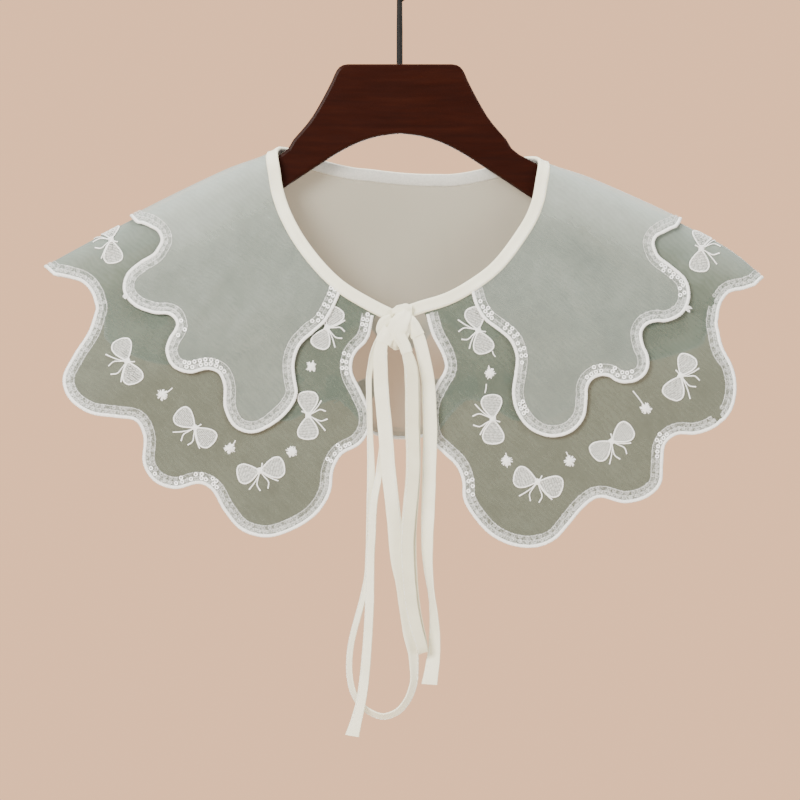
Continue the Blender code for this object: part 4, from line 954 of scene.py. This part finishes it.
def sequin(name, alpha):
    """Clear sequins, or opaque white ones painted as glints."""
    shade = Shade(name, (0.97, 0.97, 0.97), 0.3, Alpha=alpha, Specular_IOR_Level=0.7)
    # faint lilac and cyan tints: a painted iridescent sheen
    painted_iridescence = shade.noise(500.0, 1.0)
    shade.colours(
        painted_iridescence, (0.3, (0.95, 0.94, 0.99)), (0.5, (0.99, 0.99, 0.98)), (0.7, (0.94, 0.98, 0.98))
    )
    shade.spread(shade.noise(700.0), "Roughness", 0.2, 0.4)


def fine_stitching(name, thin, thick):
    """Fine stitches and clear sequins on sheer cloth, which let some of it show."""
    shade = Shade(name, (0.52, 0.54, 0.51), 0.5, Specular_IOR_Level=0.4)
    grain = shade.noise(950.0, 3.0, 0.7)
    shade.colours(grain, (0.35, (0.30, 0.32, 0.295)), (0.68, (0.64, 0.66, 0.64)))
    shade.spread(shade.ease(grain, 0.34, 0.66), "Alpha", thin, thick)
    shade.bump(grain, 0.25, 0.0001)


def varnished_wood():
    """The hanger's board."""
    shade = Shade(
        "varnished_wood",
        (0.02, 0.004, 0.001),
        0.4,
        Specular_IOR_Level=0.05,
        Coat_Weight=0.03,
        Coat_Roughness=0.22,
    )
    grain = shade.noise(1.0, 6.0, 0.65, shade.scaled(22.0, 90.0, 230.0))
    shade.colours(
        grain,
        (0.25, (0.011, 0.0015, 0.0003)),
        (0.5, (0.016, 0.0023, 0.0005)),
        (0.75, (0.022, 0.0036, 0.0009)),
    )
    worn = shade.noise(1.0, 3.0, 0.5, shade.scaled(60.0, 60.0, 300.0))
    shade.spread(worn, "Roughness", 0.32, 0.5)
    shade.bump(grain, 0.1, 0.0003)


def black_wire():
    """The hanger's hook."""
    shade = Shade("black_wire", (0.005, 0.005, 0.005), 0.4, Specular_IOR_Level=0.09)
    worn = shade.noise(160.0, 4.0)
    shade.colours(worn, (0.35, (0.004, 0.004, 0.004)), (0.75, (0.010, 0.0095, 0.009)))
    shade.spread(worn, "Roughness", 0.32, 0.48)
    shade.bump(shade.noise(900.0), 0.08, 0.0001)


# ---- the organza ----------------------------------------------------------------------
def hem_curve(tier, step):
    """A tier's hem on the cloth, in steps of that length."""
    return spline(hem_points(tier), step)


def shell(name, tier, lift_of, node):
    """One tier as a thin sheet of organza."""
    hem = hem_curve(tier, SHELL_EDGE)
    edge = sideways(neck_curve(SHELL_EDGE), -BINDING_WIDTH / 2 + SHELL_UNDER)
    first, last = (
        min(range(len(edge)), key=lambda i: (edge[i] - end).length) for end in (hem[0], hem[-1])
    )
    edge = edge[first : last + 1]
    outline = [*hem[1:-1], *reversed(edge)]
    tree = tree_of(outline)
    low_x, high_x = min(p.x for p in outline), max(p.x for p in outline)
    low_s, high_s = min(p.y for p in outline), max(p.y for p in outline)
    row_height = SHELL_GRID * math.sqrt(3) / 2
    filling = []
    for row in range(math.floor(low_s / row_height), math.ceil(high_s / row_height) + 1):
        shift = (row % 2) * SHELL_GRID / 2
        for k in range(math.floor(low_x / SHELL_GRID), math.ceil(high_x / SHELL_GRID) + 1):
            x, s = k * SHELL_GRID + shift, row * row_height
            if tree.find((x, s, 0.0))[2] > SHELL_GRID / 2 and inside(Vector((x, s)), outline):
                filling.append(Vector((x, s)))
    points = [*outline, *filling]
    flat, _, triangles, _, _, _ = geometry.delaunay_2d_cdt(
        points, [], [list(range(len(outline)))], 1, 1e-6
    )
    neck = tree_of(edge)
    pieces = Pieces()
    pieces.add(
        [drape(p.x, p.y, SHELL_LIFT + lift_of(neck.find(p.to_3d())[2])) for p in flat],
        [tuple(reversed(t)) for t in triangles],
    )
    made = make(name, pieces, [name], [node])
    wall = made.modifiers.new("wall", "SOLIDIFY")
    wall.thickness = SHELL * MM
    wall.offset = 1.0
    return made


def lower_lift(_from_neck):
    """The lower tier lies on the form itself."""
    return 0.0


def upper_lift(from_neck):
    """The upper tier rises from the seam at the neck to its hem."""
    rise = smooth(from_neck / LIFT_LENGTH)
    return UPPER_LIFT_NECK - LIFT_START + (UPPER_LIFT - UPPER_LIFT_NECK + LIFT_START) * rise


# ---- hems -----------------------------------------------------------------------------
def neck_distance():
    """A function that gives how far a place on the cloth is from the neck edge."""
    tree = tree_of(sideways(neck_curve(NECK_STEP), -BINDING_WIDTH / 2))
    return lambda p: tree.find(p.to_3d())[2]


def inset(curve, distance):
    """A curve moved that far into the tier, without the places where it would fold over."""
    tree = tree_of([skin(p.x, p.y) for p in curve])
    moved = sideways(curve, distance)
    return [p if tree.find(skin(p.x, p.y))[2] > distance * INSET_CLEAR else None for p in moved]


def runs(curve):
    """The unbroken stretches of a curve that has gaps."""
    found, now = [], []
    for p in [*curve, None]:
        if p is None:
            if len(now) > 3:
                found.append(now)
            now = []
        else:
            now.append(p)
    return found


def hem_cord(name, tier, lift_of):
    """The satin-stitched cord along a tier's hem, with rows of thread inside it."""
    pieces = Pieces()
    hem = hem_curve(tier, CORD_PITCH)
    middle = sideways(hem, CORD_WIDTH / 2 - CORD_IN)
    lifts = [SHELL_LIFT + SHELL / 2 + lift_of(from_neck(p)) for p in middle]
    points, normals = laid(middle, lifts)
    radii = [
        CORD_WIDTH / 2 * (twist(i) + CORD_UNEVEN * (rough(i, 1.0) - 0.5))
        for i in range(len(points))
    ]
    thread(pieces, points, normals, radii, 7, CORD_TALL / CORD_WIDTH)
    coarse = hem_curve(tier, HEM_STEP)
    frost = [
        [p and on(p, SHELL_TOP + FROST_LIFT + lift_of(from_neck(p)))[0] for p in inset(coarse, row)]
        for row in FROST_ROWS
    ]
    for row, (line, after) in enumerate(zip(frost, frost[1:])):
        pieces.slot = 2 + row // 2
        for a, b, c, d in zip(line, line[1:], after[1:], after):
            if a and b and c and d:
                pieces.add([a, b, c, d], [(0, 1, 2, 3)])
    pieces.slot = 1
    for row, distance in enumerate(THREAD_ROWS):
        for run in runs(inset(coarse, distance)):
            lifts = [SHELL_TOP + THREAD_LIFT + lift_of(from_neck(p)) for p in run]
            lifts = [h + THREAD_WAVE * math.sin(i * 2.2 + row) for i, h in enumerate(lifts)]
            low = 1.0 - THREAD_UNEVEN / 2
            radii = [
                THREAD_WIDE / 2 * (low + THREAD_UNEVEN * rough(i, row)) for i in range(len(run))
            ]
            thread(pieces, *laid(run, lifts), radii, 5, 0.8)
    wanted = ["thread", "fine_thread", "frost", "thin_frost"]
    return make(name, pieces, wanted, smooth=60.0)


def one_sequin(pieces, centre, normal, number, hole):
    """A small cupped disc with a hole, tipped a little its own way."""
    turn = 2 * math.pi * rough(number, 3.0)
    lean = SEQUIN_LEAN * rough(number, 5.0)
    tipped = (normal + Vector((math.cos(turn), 0.0, math.sin(turn))) * lean).normalized()
    across = tipped.orthogonal().normalized()
    up = tipped.cross(across)
    section = (
        (hole, 0.0),
        (SEQUIN_R, SEQUIN_CUP),
        (SEQUIN_R, SEQUIN_CUP + SEQUIN_THICK),
        (SEQUIN_R * SEQUIN_RING, SEQUIN_THICK * 1.15),
        (hole, SEQUIN_THICK),
    )
    points = []
    for radius, height in section:
        for angle in around(SEQUIN_SIDES):
            flat = across * math.cos(angle) + up * math.sin(angle)
            points.append(centre + flat * radius + tipped * height)
    pieces.add(points, tube_faces(len(section), SEQUIN_SIDES, closed=True))


def sequins(name, tier, lift_of):
    """The rows of sequins inside a tier's hem."""
    pieces, taken, number = Pieces(), {}, 0
    curve = hem_curve(tier, SEQUIN_STEP)
    for distance in SEQUIN_ROWS:
        for p in inset(curve, distance):
            number += 1
            if p is None:
                continue
            shift = SEQUIN_SHIFT * (rough(number, 7.0) - 0.5)
            lift = SHELL_TOP + SEQUIN_LIFT + 0.15 * rough(number, 2.0) + lift_of(from_neck(p))
            point, normal = on((p.x + shift, p.y + shift), lift)
            side = FRONT if p.y > 0 else BACK
            # in a glint spot a sequin is painted as a glint: opaque and white
            painted_glint = rough(number, 11.0) < PAINTED_GLINT_SHARE and any(
                math.hypot(point.x - x, point.z - z) < radius for x, z, radius in PAINTED_GLINT_SPOTS[side]
            )
            cell = tuple(round(c / SEQUIN_CELL) for c in point)
            near = [
                q
                for step in itertools.product((-1, 0, 1), repeat=3)
                for q in taken.get(tuple(c + d for c, d in zip(cell, step)), [])
            ]
            if any((q - point).length < SEQUIN_APART for q in near):
                continue
            taken.setdefault(cell, []).append(point)
            pieces.slot = 0 if painted_glint else 1
            one_sequin(pieces, point, normal, number, SEQUIN_HOLE if painted_glint else CLEAR_HOLE)
    return make(name, pieces, ["sequin", "clear_sequin"], smooth=30.0)


# ---- embroidery -----------------------------------------------------------------------
def patch(side, x, z, turn, lift):
    """A function from a motif's own (u, v) to the point on the cloth and its normal."""
    middle = on_cloth(side, x, z)
    along, down = ways(*middle)
    normal = down.cross(along).normalized()
    right = Vector((0.0, 0.0, side)).cross(normal).normalized()
    up = normal.cross(right) * side
    spin = math.radians(turn)
    long_way = right * math.cos(spin) + up * math.sin(spin)
    tall_way = up * math.cos(spin) - right * math.sin(spin)
    near_fold = abs(middle[1]) < NEAR_FOLD

    def put(u, v, height=0.0):
        offset = long_way * u + tall_way * v
        if near_fold:
            change = step_on(*middle, offset)
            return on((middle[0] + change.x, middle[1] + change.y), lift + height)
        return on(on_cloth(side, x + offset.x, z + offset.z), lift + height)

    return put


def drawn(put, line, height, sign=1.0):
    """Points and normals on the cloth of a line in a motif's own plane."""
    found = [put(p.x * sign, p.y, height) for p in line]
    return [p for p, _ in found], [n for _, n in found]


def fill_leaf(pieces, put, edge, sign, number):
    """Rows of short, slightly slanting stitches inside a leaf's edge."""
    low_u, high_u = min(p.x for p in edge), max(p.x for p in edge)
    u, step = low_u + LEAF_ROW, 0
    while u < high_u - LEAF_ROW * 0.5:
        crossing = sorted(
            a.y + (b.y - a.y) * (u - a.x) / (b.x - a.x)
            for a, b in zip(edge, edge[1:])
            if (a.x <= u) != (b.x <= u)
        )
        if len(crossing) >= 2:
            start_v = crossing[0] + LEAF_IN
            v = start_v + LEAF_STITCH * 0.5 * rough(step, number)
            while start_v < crossing[-1] - 0.5:
                end_v = min(v, crossing[-1] - LEAF_IN)
                slant = 0.28 * (rough(step, v) - 0.3)
                start, normal = put(u * sign, start_v, FILLING_LIFT)
                end, _ = put((u + slant) * sign, end_v, FILLING_LIFT)
                stitch(pieces, start, end, normal, 0.28 + 0.07 * rough(v, step), 4)
                start_v = v + LEAF_GAP
                v += LEAF_STITCH * (0.8 + 0.5 * rough(v, number))
        u += LEAF_ROW
        step += 1


def bow_stitches(node, number, side, x, z, turn, size):
    """One embroidered bow: filled and outlined leaves, a bound waist and four tails."""
    put = patch(side, x, z, turn, SHELL_TOP)
    pieces = Pieces()
    for leaf, sign in enumerate((-1.0, 1.0)):
        grow = size * (1.0 - LEAF_SIZES / 2 + LEAF_SIZES * rough(number, leaf))
        sway = math.radians(LEAF_TURNS * (rough(number, leaf + 3.0) - 0.5))
        c, s = math.cos(sway), math.sin(sway)
        knots = [Vector((u * c - v * s, u * s + v * c)) * grow for u, v in LEAF]
        edge = spline(knots, LEAF_STEP)
        points, normals = drawn(put, edge, LEAF_LIFT, sign)
        radii = [LEAF_EDGE / 2 * twist(i, 0.8) for i in range(len(points))]
        thread(pieces, points, normals, radii, 6, 0.85)
        pieces.slot = 1
        back_points, back_normals = drawn(put, edge[::2], BACKING_LIFT, sign)
        middle = sum(back_points, Vector()) / len(back_points)
        count = len(back_points)
        pieces.add(
            [middle + back_normals[0] * BACKING_LIFT, *back_points],
            [(0, 1 + k, 1 + (k + 1) % count) for k in range(count)],
        )
        pieces.slot = 2
        fill_leaf(pieces, put, edge, sign, number)
        pieces.slot = 0
    for k in range(WAIST_TURNS):
        u = (k - (WAIST_TURNS - 1) // 2) * WAIST_PITCH
        start, normal = put(u, WAIST_REACH * size, WAIST_LOW)
        middle, _ = put(u, 0.0, WAIST_HIGH)
        end, _ = put(u, -WAIST_REACH * size, WAIST_LOW)
        thread(pieces, [start, middle, end], [normal] * 3, FAT_STITCH, 6)
    for k, line in enumerate(BOW_THREADS):
        grow, shift = 0.94 + 0.12 * rough(number, k), 0.5 * (rough(number, k, 1.0) - 0.5)
        bent = [Vector(p) * size * grow + Vector((shift, 0.0)) for p in line]
        points, normals = drawn(put, spline(bent, BOW_STEP), BOW_LIFT)
        last = len(points) - 1
        radii = [BOW_THREAD / 2 * (0.75 + 0.35 * i / last) * twist(i) for i in range(last + 1)]
        thread(pieces, points, normals, radii, 6, 0.85)
    # on the back bows the backing takes the pale embroidery colour, not the grey one: painted light
    # that lifts the shade it lies in
    wanted = ["embroidery", "backing" if side == FRONT else "embroidery", "filling"]
    return make(node + "_stitches", pieces, wanted, [node], smooth=70.0)


def loose_thread(pieces, put, line, step=0.7, lift=0.25, radius=0.36):
    """A thin thread on the cloth through places in a motif's own plane."""
    points, normals = drawn(put, spline(line, step), lift)
    thread(pieces, points, normals, [radius] * len(points), 5)


def dots():
    """The small stitched balls between the bows, each with a stem."""
    pieces = Pieces()
    rows = [(side, *row) for side in DOTS for row in DOTS[side]]
    for number, (side, x, z, stem_x, stem_z) in enumerate(rows):
        put = patch(side, x, z, 0.0, SHELL_TOP)
        for k in range(DOT_STITCHES):
            angle = math.pi * (k + 0.7 * rough(number, k)) / DOT_STITCHES * 5
            reach = DOT_R * (0.65 + 0.6 * rough(k, number))
            shift = 0.5 * (rough(k, number, 2.0) - 0.5)
            u, v = math.cos(angle) * reach, math.sin(angle) * reach
            start, normal = put(u + shift, v - shift, DOT_LOW)
            middle, _ = put(shift * 0.5, -shift * 0.5, DOT_HIGH + DOT_RISE * k)
            end, _ = put(-u * 0.9 + shift, -v * 0.9 - shift, DOT_LOW)
            thread(pieces, [start, middle, end], [normal] * 3, FAT_STITCH, 5)
        end_u, end_v = stem_x - x, stem_z - z
        bend_at = (end_u * 0.5 + 0.3, end_v * 0.5)
        loose_thread(pieces, put, [(0.0, 0.0), bend_at, (end_u, end_v)])
    for side, x, z, end_x, end_z in LOOSE:
        put = patch(side, x, z, 0.0, SHELL_TOP)
        end_u, end_v = end_x - x, end_z - z
        loose_thread(pieces, put, [(0.0, 0.0), (end_u * 0.3, end_v * 0.5), (end_u, end_v)])
    return make("stitched_dots", pieces, ["embroidery"], smooth=70.0)


def thread_tags():
    """Short tags of thread left at the upper tier's hem."""
    pieces = Pieces()
    for number, (side, x, z, end_x, end_z) in enumerate(TAGS):
        put = patch(side, x, z, 0.0, SHELL_LIFT + UPPER_LIFT + TAG_LIFT)
        for k in range(TAG_THREADS):
            far = Vector((end_x - x, end_z - z)) * (0.7 + 0.5 * rough(number, k))
            wide = Vector((-far.y, far.x)).normalized() * (k - TAG_THREADS // 2) * TAG_PITCH
            line = [wide * 0.6, far * 0.5 + wide * 1.3, far + wide]
            loose_thread(pieces, put, line, 0.6, 0.2 + 0.15 * k, 0.3)
    return make("thread_tags", pieces, ["thread"], smooth=70.0)


# ---- binding, ties and knot -----------------------------------------------------------
def binding():
    """The folded tape over the neck edge, its underside greyed with painted shade."""
    middle = neck_curve(BINDING_STEP, [BINDING_ENDS[0], *NECKLINE, BINDING_ENDS[1]])
    lines = [sideways(middle, -share * BINDING_WIDTH) for share, _ in TAPE_SECTION]
    rings, count = [], len(middle)
    for i in range(count):
        puff = 0.14 * math.sin(i * 0.9) * rough(i, 4.0) + 0.1 * (rough(i, 9.0) - 0.5)
        for line, (share, height) in zip(lines, TAPE_SECTION):
            raised = height + (puff if height > 1.5 else 0.0)
            rings.append(drape(line[i].x, line[i].y, raised))
    sides = len(TAPE_SECTION)
    pieces = outward_tube(rings, count)
    # the underside faces, points 1 to 4 of the section, take a grey copy of the tape: painted shade
    pieces.slots = [int(1 <= i % sides <= 4) for i in range((count - 1) * sides)] + [0, 0]
    wanted = ["tape", "tape_underside_painted_shade"]
    return make("binding_tape", pieces, wanted, ["neck_binding"], smooth=50.0)


def outward_tube(rings, count):
    """That many rings of points as one closed tube with its faces turned outward."""
    pieces = Pieces()
    pieces.add(rings, tube_faces(count, len(rings) // count))
    volume = 0.0
    for face in pieces.faces:
        a = pieces.points[face[0]]
        for i in range(1, len(face) - 1):
            volume += a.dot(pieces.points[face[i]].cross(pieces.points[face[i + 1]]))
    if volume < 0.0:
        pieces.faces = [tuple(reversed(face)) for face in pieces.faces]
    return pieces


def seams(tie_lines):
    """The machine-sewn stitches along the binding and the ties."""
    pieces = Pieces()
    line = sideways(neck_curve(SEAM_PITCH), -BINDING_SEAM * BINDING_WIDTH)
    for p, q in zip(line, line[1:]):
        start, normal = on(p, SEAM_LIFT)
        end, _ = on(p.lerp(q, SEAM_STITCH / SEAM_PITCH), SEAM_LIFT)
        stitch(pieces, start, end, normal, SEAM_WIDE / 2)
    for points, normals in tie_lines:
        for p, q, normal in zip(points, points[1:], normals):
            end = p.lerp(q, SEAM_STITCH / SEAM_PITCH)
            stitch(pieces, p, end, normal, SEAM_WIDE / 2)
    return make("seam_stitches", pieces, ["thread"], smooth=70.0)


def frames_of(route):
    """Points along a tie's route, each with its way, its sideways and outward directions
    and its width."""
    places = finer(with_places(route), lambda gap: math.ceil(gap / TAPE_STEP))
    fine = finer(places, lambda gap: round(gap / TIE_STEP))
    found, before_way, across = [], None, None
    for i, (p, turn, width) in enumerate(fine):
        way = (fine[min(i + 1, len(fine) - 1)][0] - fine[max(i - 1, 0)][0]).normalized()
        if before_way is None:
            across = way.cross(Vector((0.0, -1.0, 0.0))).normalized()
        else:
            across = before_way.rotation_difference(way) @ across
        before_way = way
        side = Quaternion(way, math.radians(turn)) @ across
        found.append((p, way, side, side.cross(way).normalized(), width))
    return found


def tie(name, route, node, loose_end, look):
    """One strand of the ties; returns its line of stitches."""
    frames = frames_of(route)
    rings, count = [], len(frames)
    for i, (p, way, side, face, width) in enumerate(frames):
        from_end = count - 1 - i
        wide = width * (1.0 + 0.02 * math.sin(i * 0.7) * rough(i, 2.0))
        thick = TAPE_THICK * (1.0 + 0.12 * (rough(i, 6.0) - 0.5))
        if loose_end and from_end < CUT_ROWS:
            thick *= CUT_THICK
            wide *= 1.0 + CUT_WIDE * (CUT_ROWS - from_end)
        for u, h in TIE_SECTION:
            slant = way * (CUT_SLANT * u if loose_end and from_end == 0 else 0.0)
            rings.append(p + side * u * wide + face * h * thick + slant)
    pieces = outward_tube(rings, count)
    made = make(name, pieces, [look], [node], smooth=50.0)
    path = [row[0] * MM for row in frames]
    length = sum((b - a).length for a, b in zip(path, path[1:]))
    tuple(path[0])
    gone, points, normals = 0.0, [], []
    for (p, _, side, face, width), (q, *_) in zip(frames, frames[1:]):
        if gone <= 0.0:
            points.append(p + side * TIE_SEAM * width + face * TAPE_THICK * TIE_SEAM_LIFT)
            normals.append(face)
            gone += SEAM_PITCH
        gone -= (q - p).length
    return points, normals


def knot():
    """The knot: wraps of tape with soft folds along them."""
    pieces = Pieces()
    for number, wrap in enumerate(KNOT_WRAPS):
        places = finer(with_places(wrap), lambda gap: WRAP_STEPS, smooth)
        rings, count = [], len(places)
        for i, (p, half_w, half_d) in enumerate(places):
            way = (places[min(i + 1, count - 1)][0] - places[max(i - 1, 0)][0]).normalized()
            across = way.cross(Vector((0.0, -1.0, 0.0))).normalized()
            out = across.cross(way).normalized()
            for angle in around(WRAP_SIDES):
                fold = 1.0 + FOLD_DEEP * math.cos(angle * KNOT_FOLDS + number + 0.12 * i)
                fold += FINE_DEEP * math.cos(angle * FINE_FOLDS + 2.0 * number - 0.2 * i)
                c, s = math.cos(angle), math.sin(angle)
                u = math.copysign(abs(c) ** WRAP_SQUARE, c) * half_w * fold
                v = math.copysign(abs(s) ** WRAP_SQUARE, s) * half_d * fold
                rings.append(p + across * u + out * v)
        one = outward_tube(rings, count)
        pieces.add(one.points, one.faces)
    return make("knot_wraps", pieces, ["tape"], ["tie_knot"], smooth=60.0)


# ---- the stage ------------------------------------------------------------------------
def soft_light(name, place, target, size, watts, colour):
    """A square of soft light at a place in metres, turned to its target."""
    data = bpy.data.lights.new(name, "AREA")
    data.shape = "SQUARE"
    data.size = size
    data.energy = watts
    data.color = colour
    made = in_scene(name, data)
    made.location = place
    made.rotation_euler = (Vector(target) - Vector(place)).to_track_quat("-Z", "Y").to_euler()


def stage():
    """A pale floor far below, a plain pale backdrop colour and soft studio light."""
    world = bpy.data.worlds.new("studio")
    bpy.context.scene.world = world
    world.use_nodes = True
    nodes, links = world.node_tree.nodes, world.node_tree.links
    shown = nodes["Background"]
    shown.inputs["Color"].default_value = (*BACKDROP, 1.0)
    shown.inputs["Strength"].default_value = 1.0
    lighting = nodes.new("ShaderNodeBackground")
    lighting.inputs["Color"].default_value = (*AMBIENT, 1.0)
    lighting.inputs["Strength"].default_value = AMBIENT_STRENGTH
    path = nodes.new("ShaderNodeLightPath")
    mixed = nodes.new("ShaderNodeMixShader")
    links.new(path.outputs["Is Camera Ray"], mixed.inputs["Fac"])
    links.new(lighting.outputs["Background"], mixed.inputs[1])
    links.new(shown.outputs["Background"], mixed.inputs[2])
    links.new(mixed.outputs["Shader"], nodes["World Output"].inputs["Surface"])

    mesh = bpy.data.meshes.new("floor")
    rim = [(FLOOR_R * math.cos(a), FLOOR_R * math.sin(a), FLOOR_Z) for a in around(FLOOR_SIDES)]
    mesh.from_pydata(rim, [], [tuple(range(FLOOR_SIDES))])
    floor = in_scene("floor", mesh)
    shade = Shade("pale_floor", FLOOR_COLOUR, 0.8)
    paler = tuple(c * 1.04 for c in FLOOR_COLOUR)
    shade.colours(shade.noise(6.0), (0.3, FLOOR_COLOUR), (0.7, paler))
    mesh.materials.append(looks["pale_floor"])

    for light in LIGHTS:
        soft_light(*light)


def camera():
    """The camera in front of the collar, level, with a long lens."""
    data = bpy.data.cameras.new("camera")
    made = in_scene("camera", data)
    made.location = (VIEW_X * MM, (VIEW_Y - VIEW_AWAY) * MM, VIEW_Z * MM)
    made.rotation_euler = (math.pi / 2, 0.0, 0.0)
    data.sensor_width = SENSOR
    data.lens = SENSOR * VIEW_AWAY / VIEW_WIDTH
    data.clip_end = CLIP_END
    bpy.context.scene.camera = made


# ---- the whole scene ------------------------------------------------------------------
for old in list(bpy.data.objects):
    bpy.data.objects.remove(old, do_unlink=True)
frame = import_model()
bpy.context.scene.cycles.transparent_max_bounces = 48
camera()
stage()

organza("lower_organza", *LOWER_CLOTH, *LOWER_COVER)
organza("upper_organza", *UPPER_CLOTH, *UPPER_COVER)
tape_cloth("tape", (0.83, 0.80, 0.62), (0.91, 0.885, 0.71))
# a darker, creamier copy of the tape for the right loop: partly its creamier tone, partly painted
# shade
tape_cloth("shaded_cream_tape", (0.67, 0.64, 0.47), (0.76, 0.73, 0.55))
# the binding's underside: the tape made grey as painted shade
sewing("tape_underside_painted_shade", (0.46, 0.455, 0.42), (0.56, 0.55, 0.51))
sewing("thread", (0.80, 0.80, 0.79), (0.92, 0.92, 0.91))
sewing("embroidery", (0.84, 0.84, 0.83), (0.95, 0.95, 0.94))
sewing("fine_thread", (0.46, 0.47, 0.45), (0.60, 0.61, 0.59))
sewing("filling", (0.58, 0.59, 0.57), (0.80, 0.80, 0.78))
sewing("backing", (0.24, 0.25, 0.235), (0.34, 0.35, 0.33))
fine_stitching("frost", 0.25, 0.85)
fine_stitching("thin_frost", 0.05, 0.5)
# "sequin" is the opaque white painted glint; "clear_sequin" is the sequins' own clear look
sequin("sequin", 1.0)
sequin("clear_sequin", 0.13)
from_neck = neck_distance()

# the right loop takes the darker cream tape, partly painted shade
TIES = (
    ("tie_tail_left_tape", TAIL_LEFT, "tie_tail_left", True, "tape"),
    ("tie_loop_left_tape", LOOP_LEFT, "tie_loop_left", False, "tape"),
    ("tie_loop_right_tape", LOOP_RIGHT, "tie_loop_right", False, "shaded_cream_tape"),
    ("tie_tail_right_tape", TAIL_RIGHT, "tie_tail_right", True, "tape"),
)
tie_lines = [tie(*row) for row in TIES]
knot()
binding()
seams(tie_lines)

lower = shell("lower_organza", LOWER, lower_lift, "lower_tier")
upper = shell("upper_organza", UPPER, upper_lift, "upper_tier")
on_lower, on_upper = (
    [hem_cord(f"{name}_hem_cord", tier, lift), sequins(f"{name}_sequins", tier, lift)]
    for name, tier, lift in (("lower", LOWER, lower_lift), ("upper", UPPER, upper_lift))
)
bow_count = 0
for side_word, bow_side in (("front", FRONT), ("back", BACK)):
    for bow_number, bow_row in enumerate(BOWS[bow_side], 1):
        bow_node = f"bow_{side_word}_{bow_number:02}"
        on_lower.append(bow_stitches(bow_node, bow_count, bow_side, *bow_row))
        bow_count += 1
on_lower.append(dots())
on_upper.append(thread_tags())

varnished_wood()
black_wire()
for node, look in (("hanger_body", "varnished_wood"), ("hanger_hook", "black_wire")):
    frame["nodes"][node].data.materials.clear()
    frame["nodes"][node].data.materials.append(looks[look])
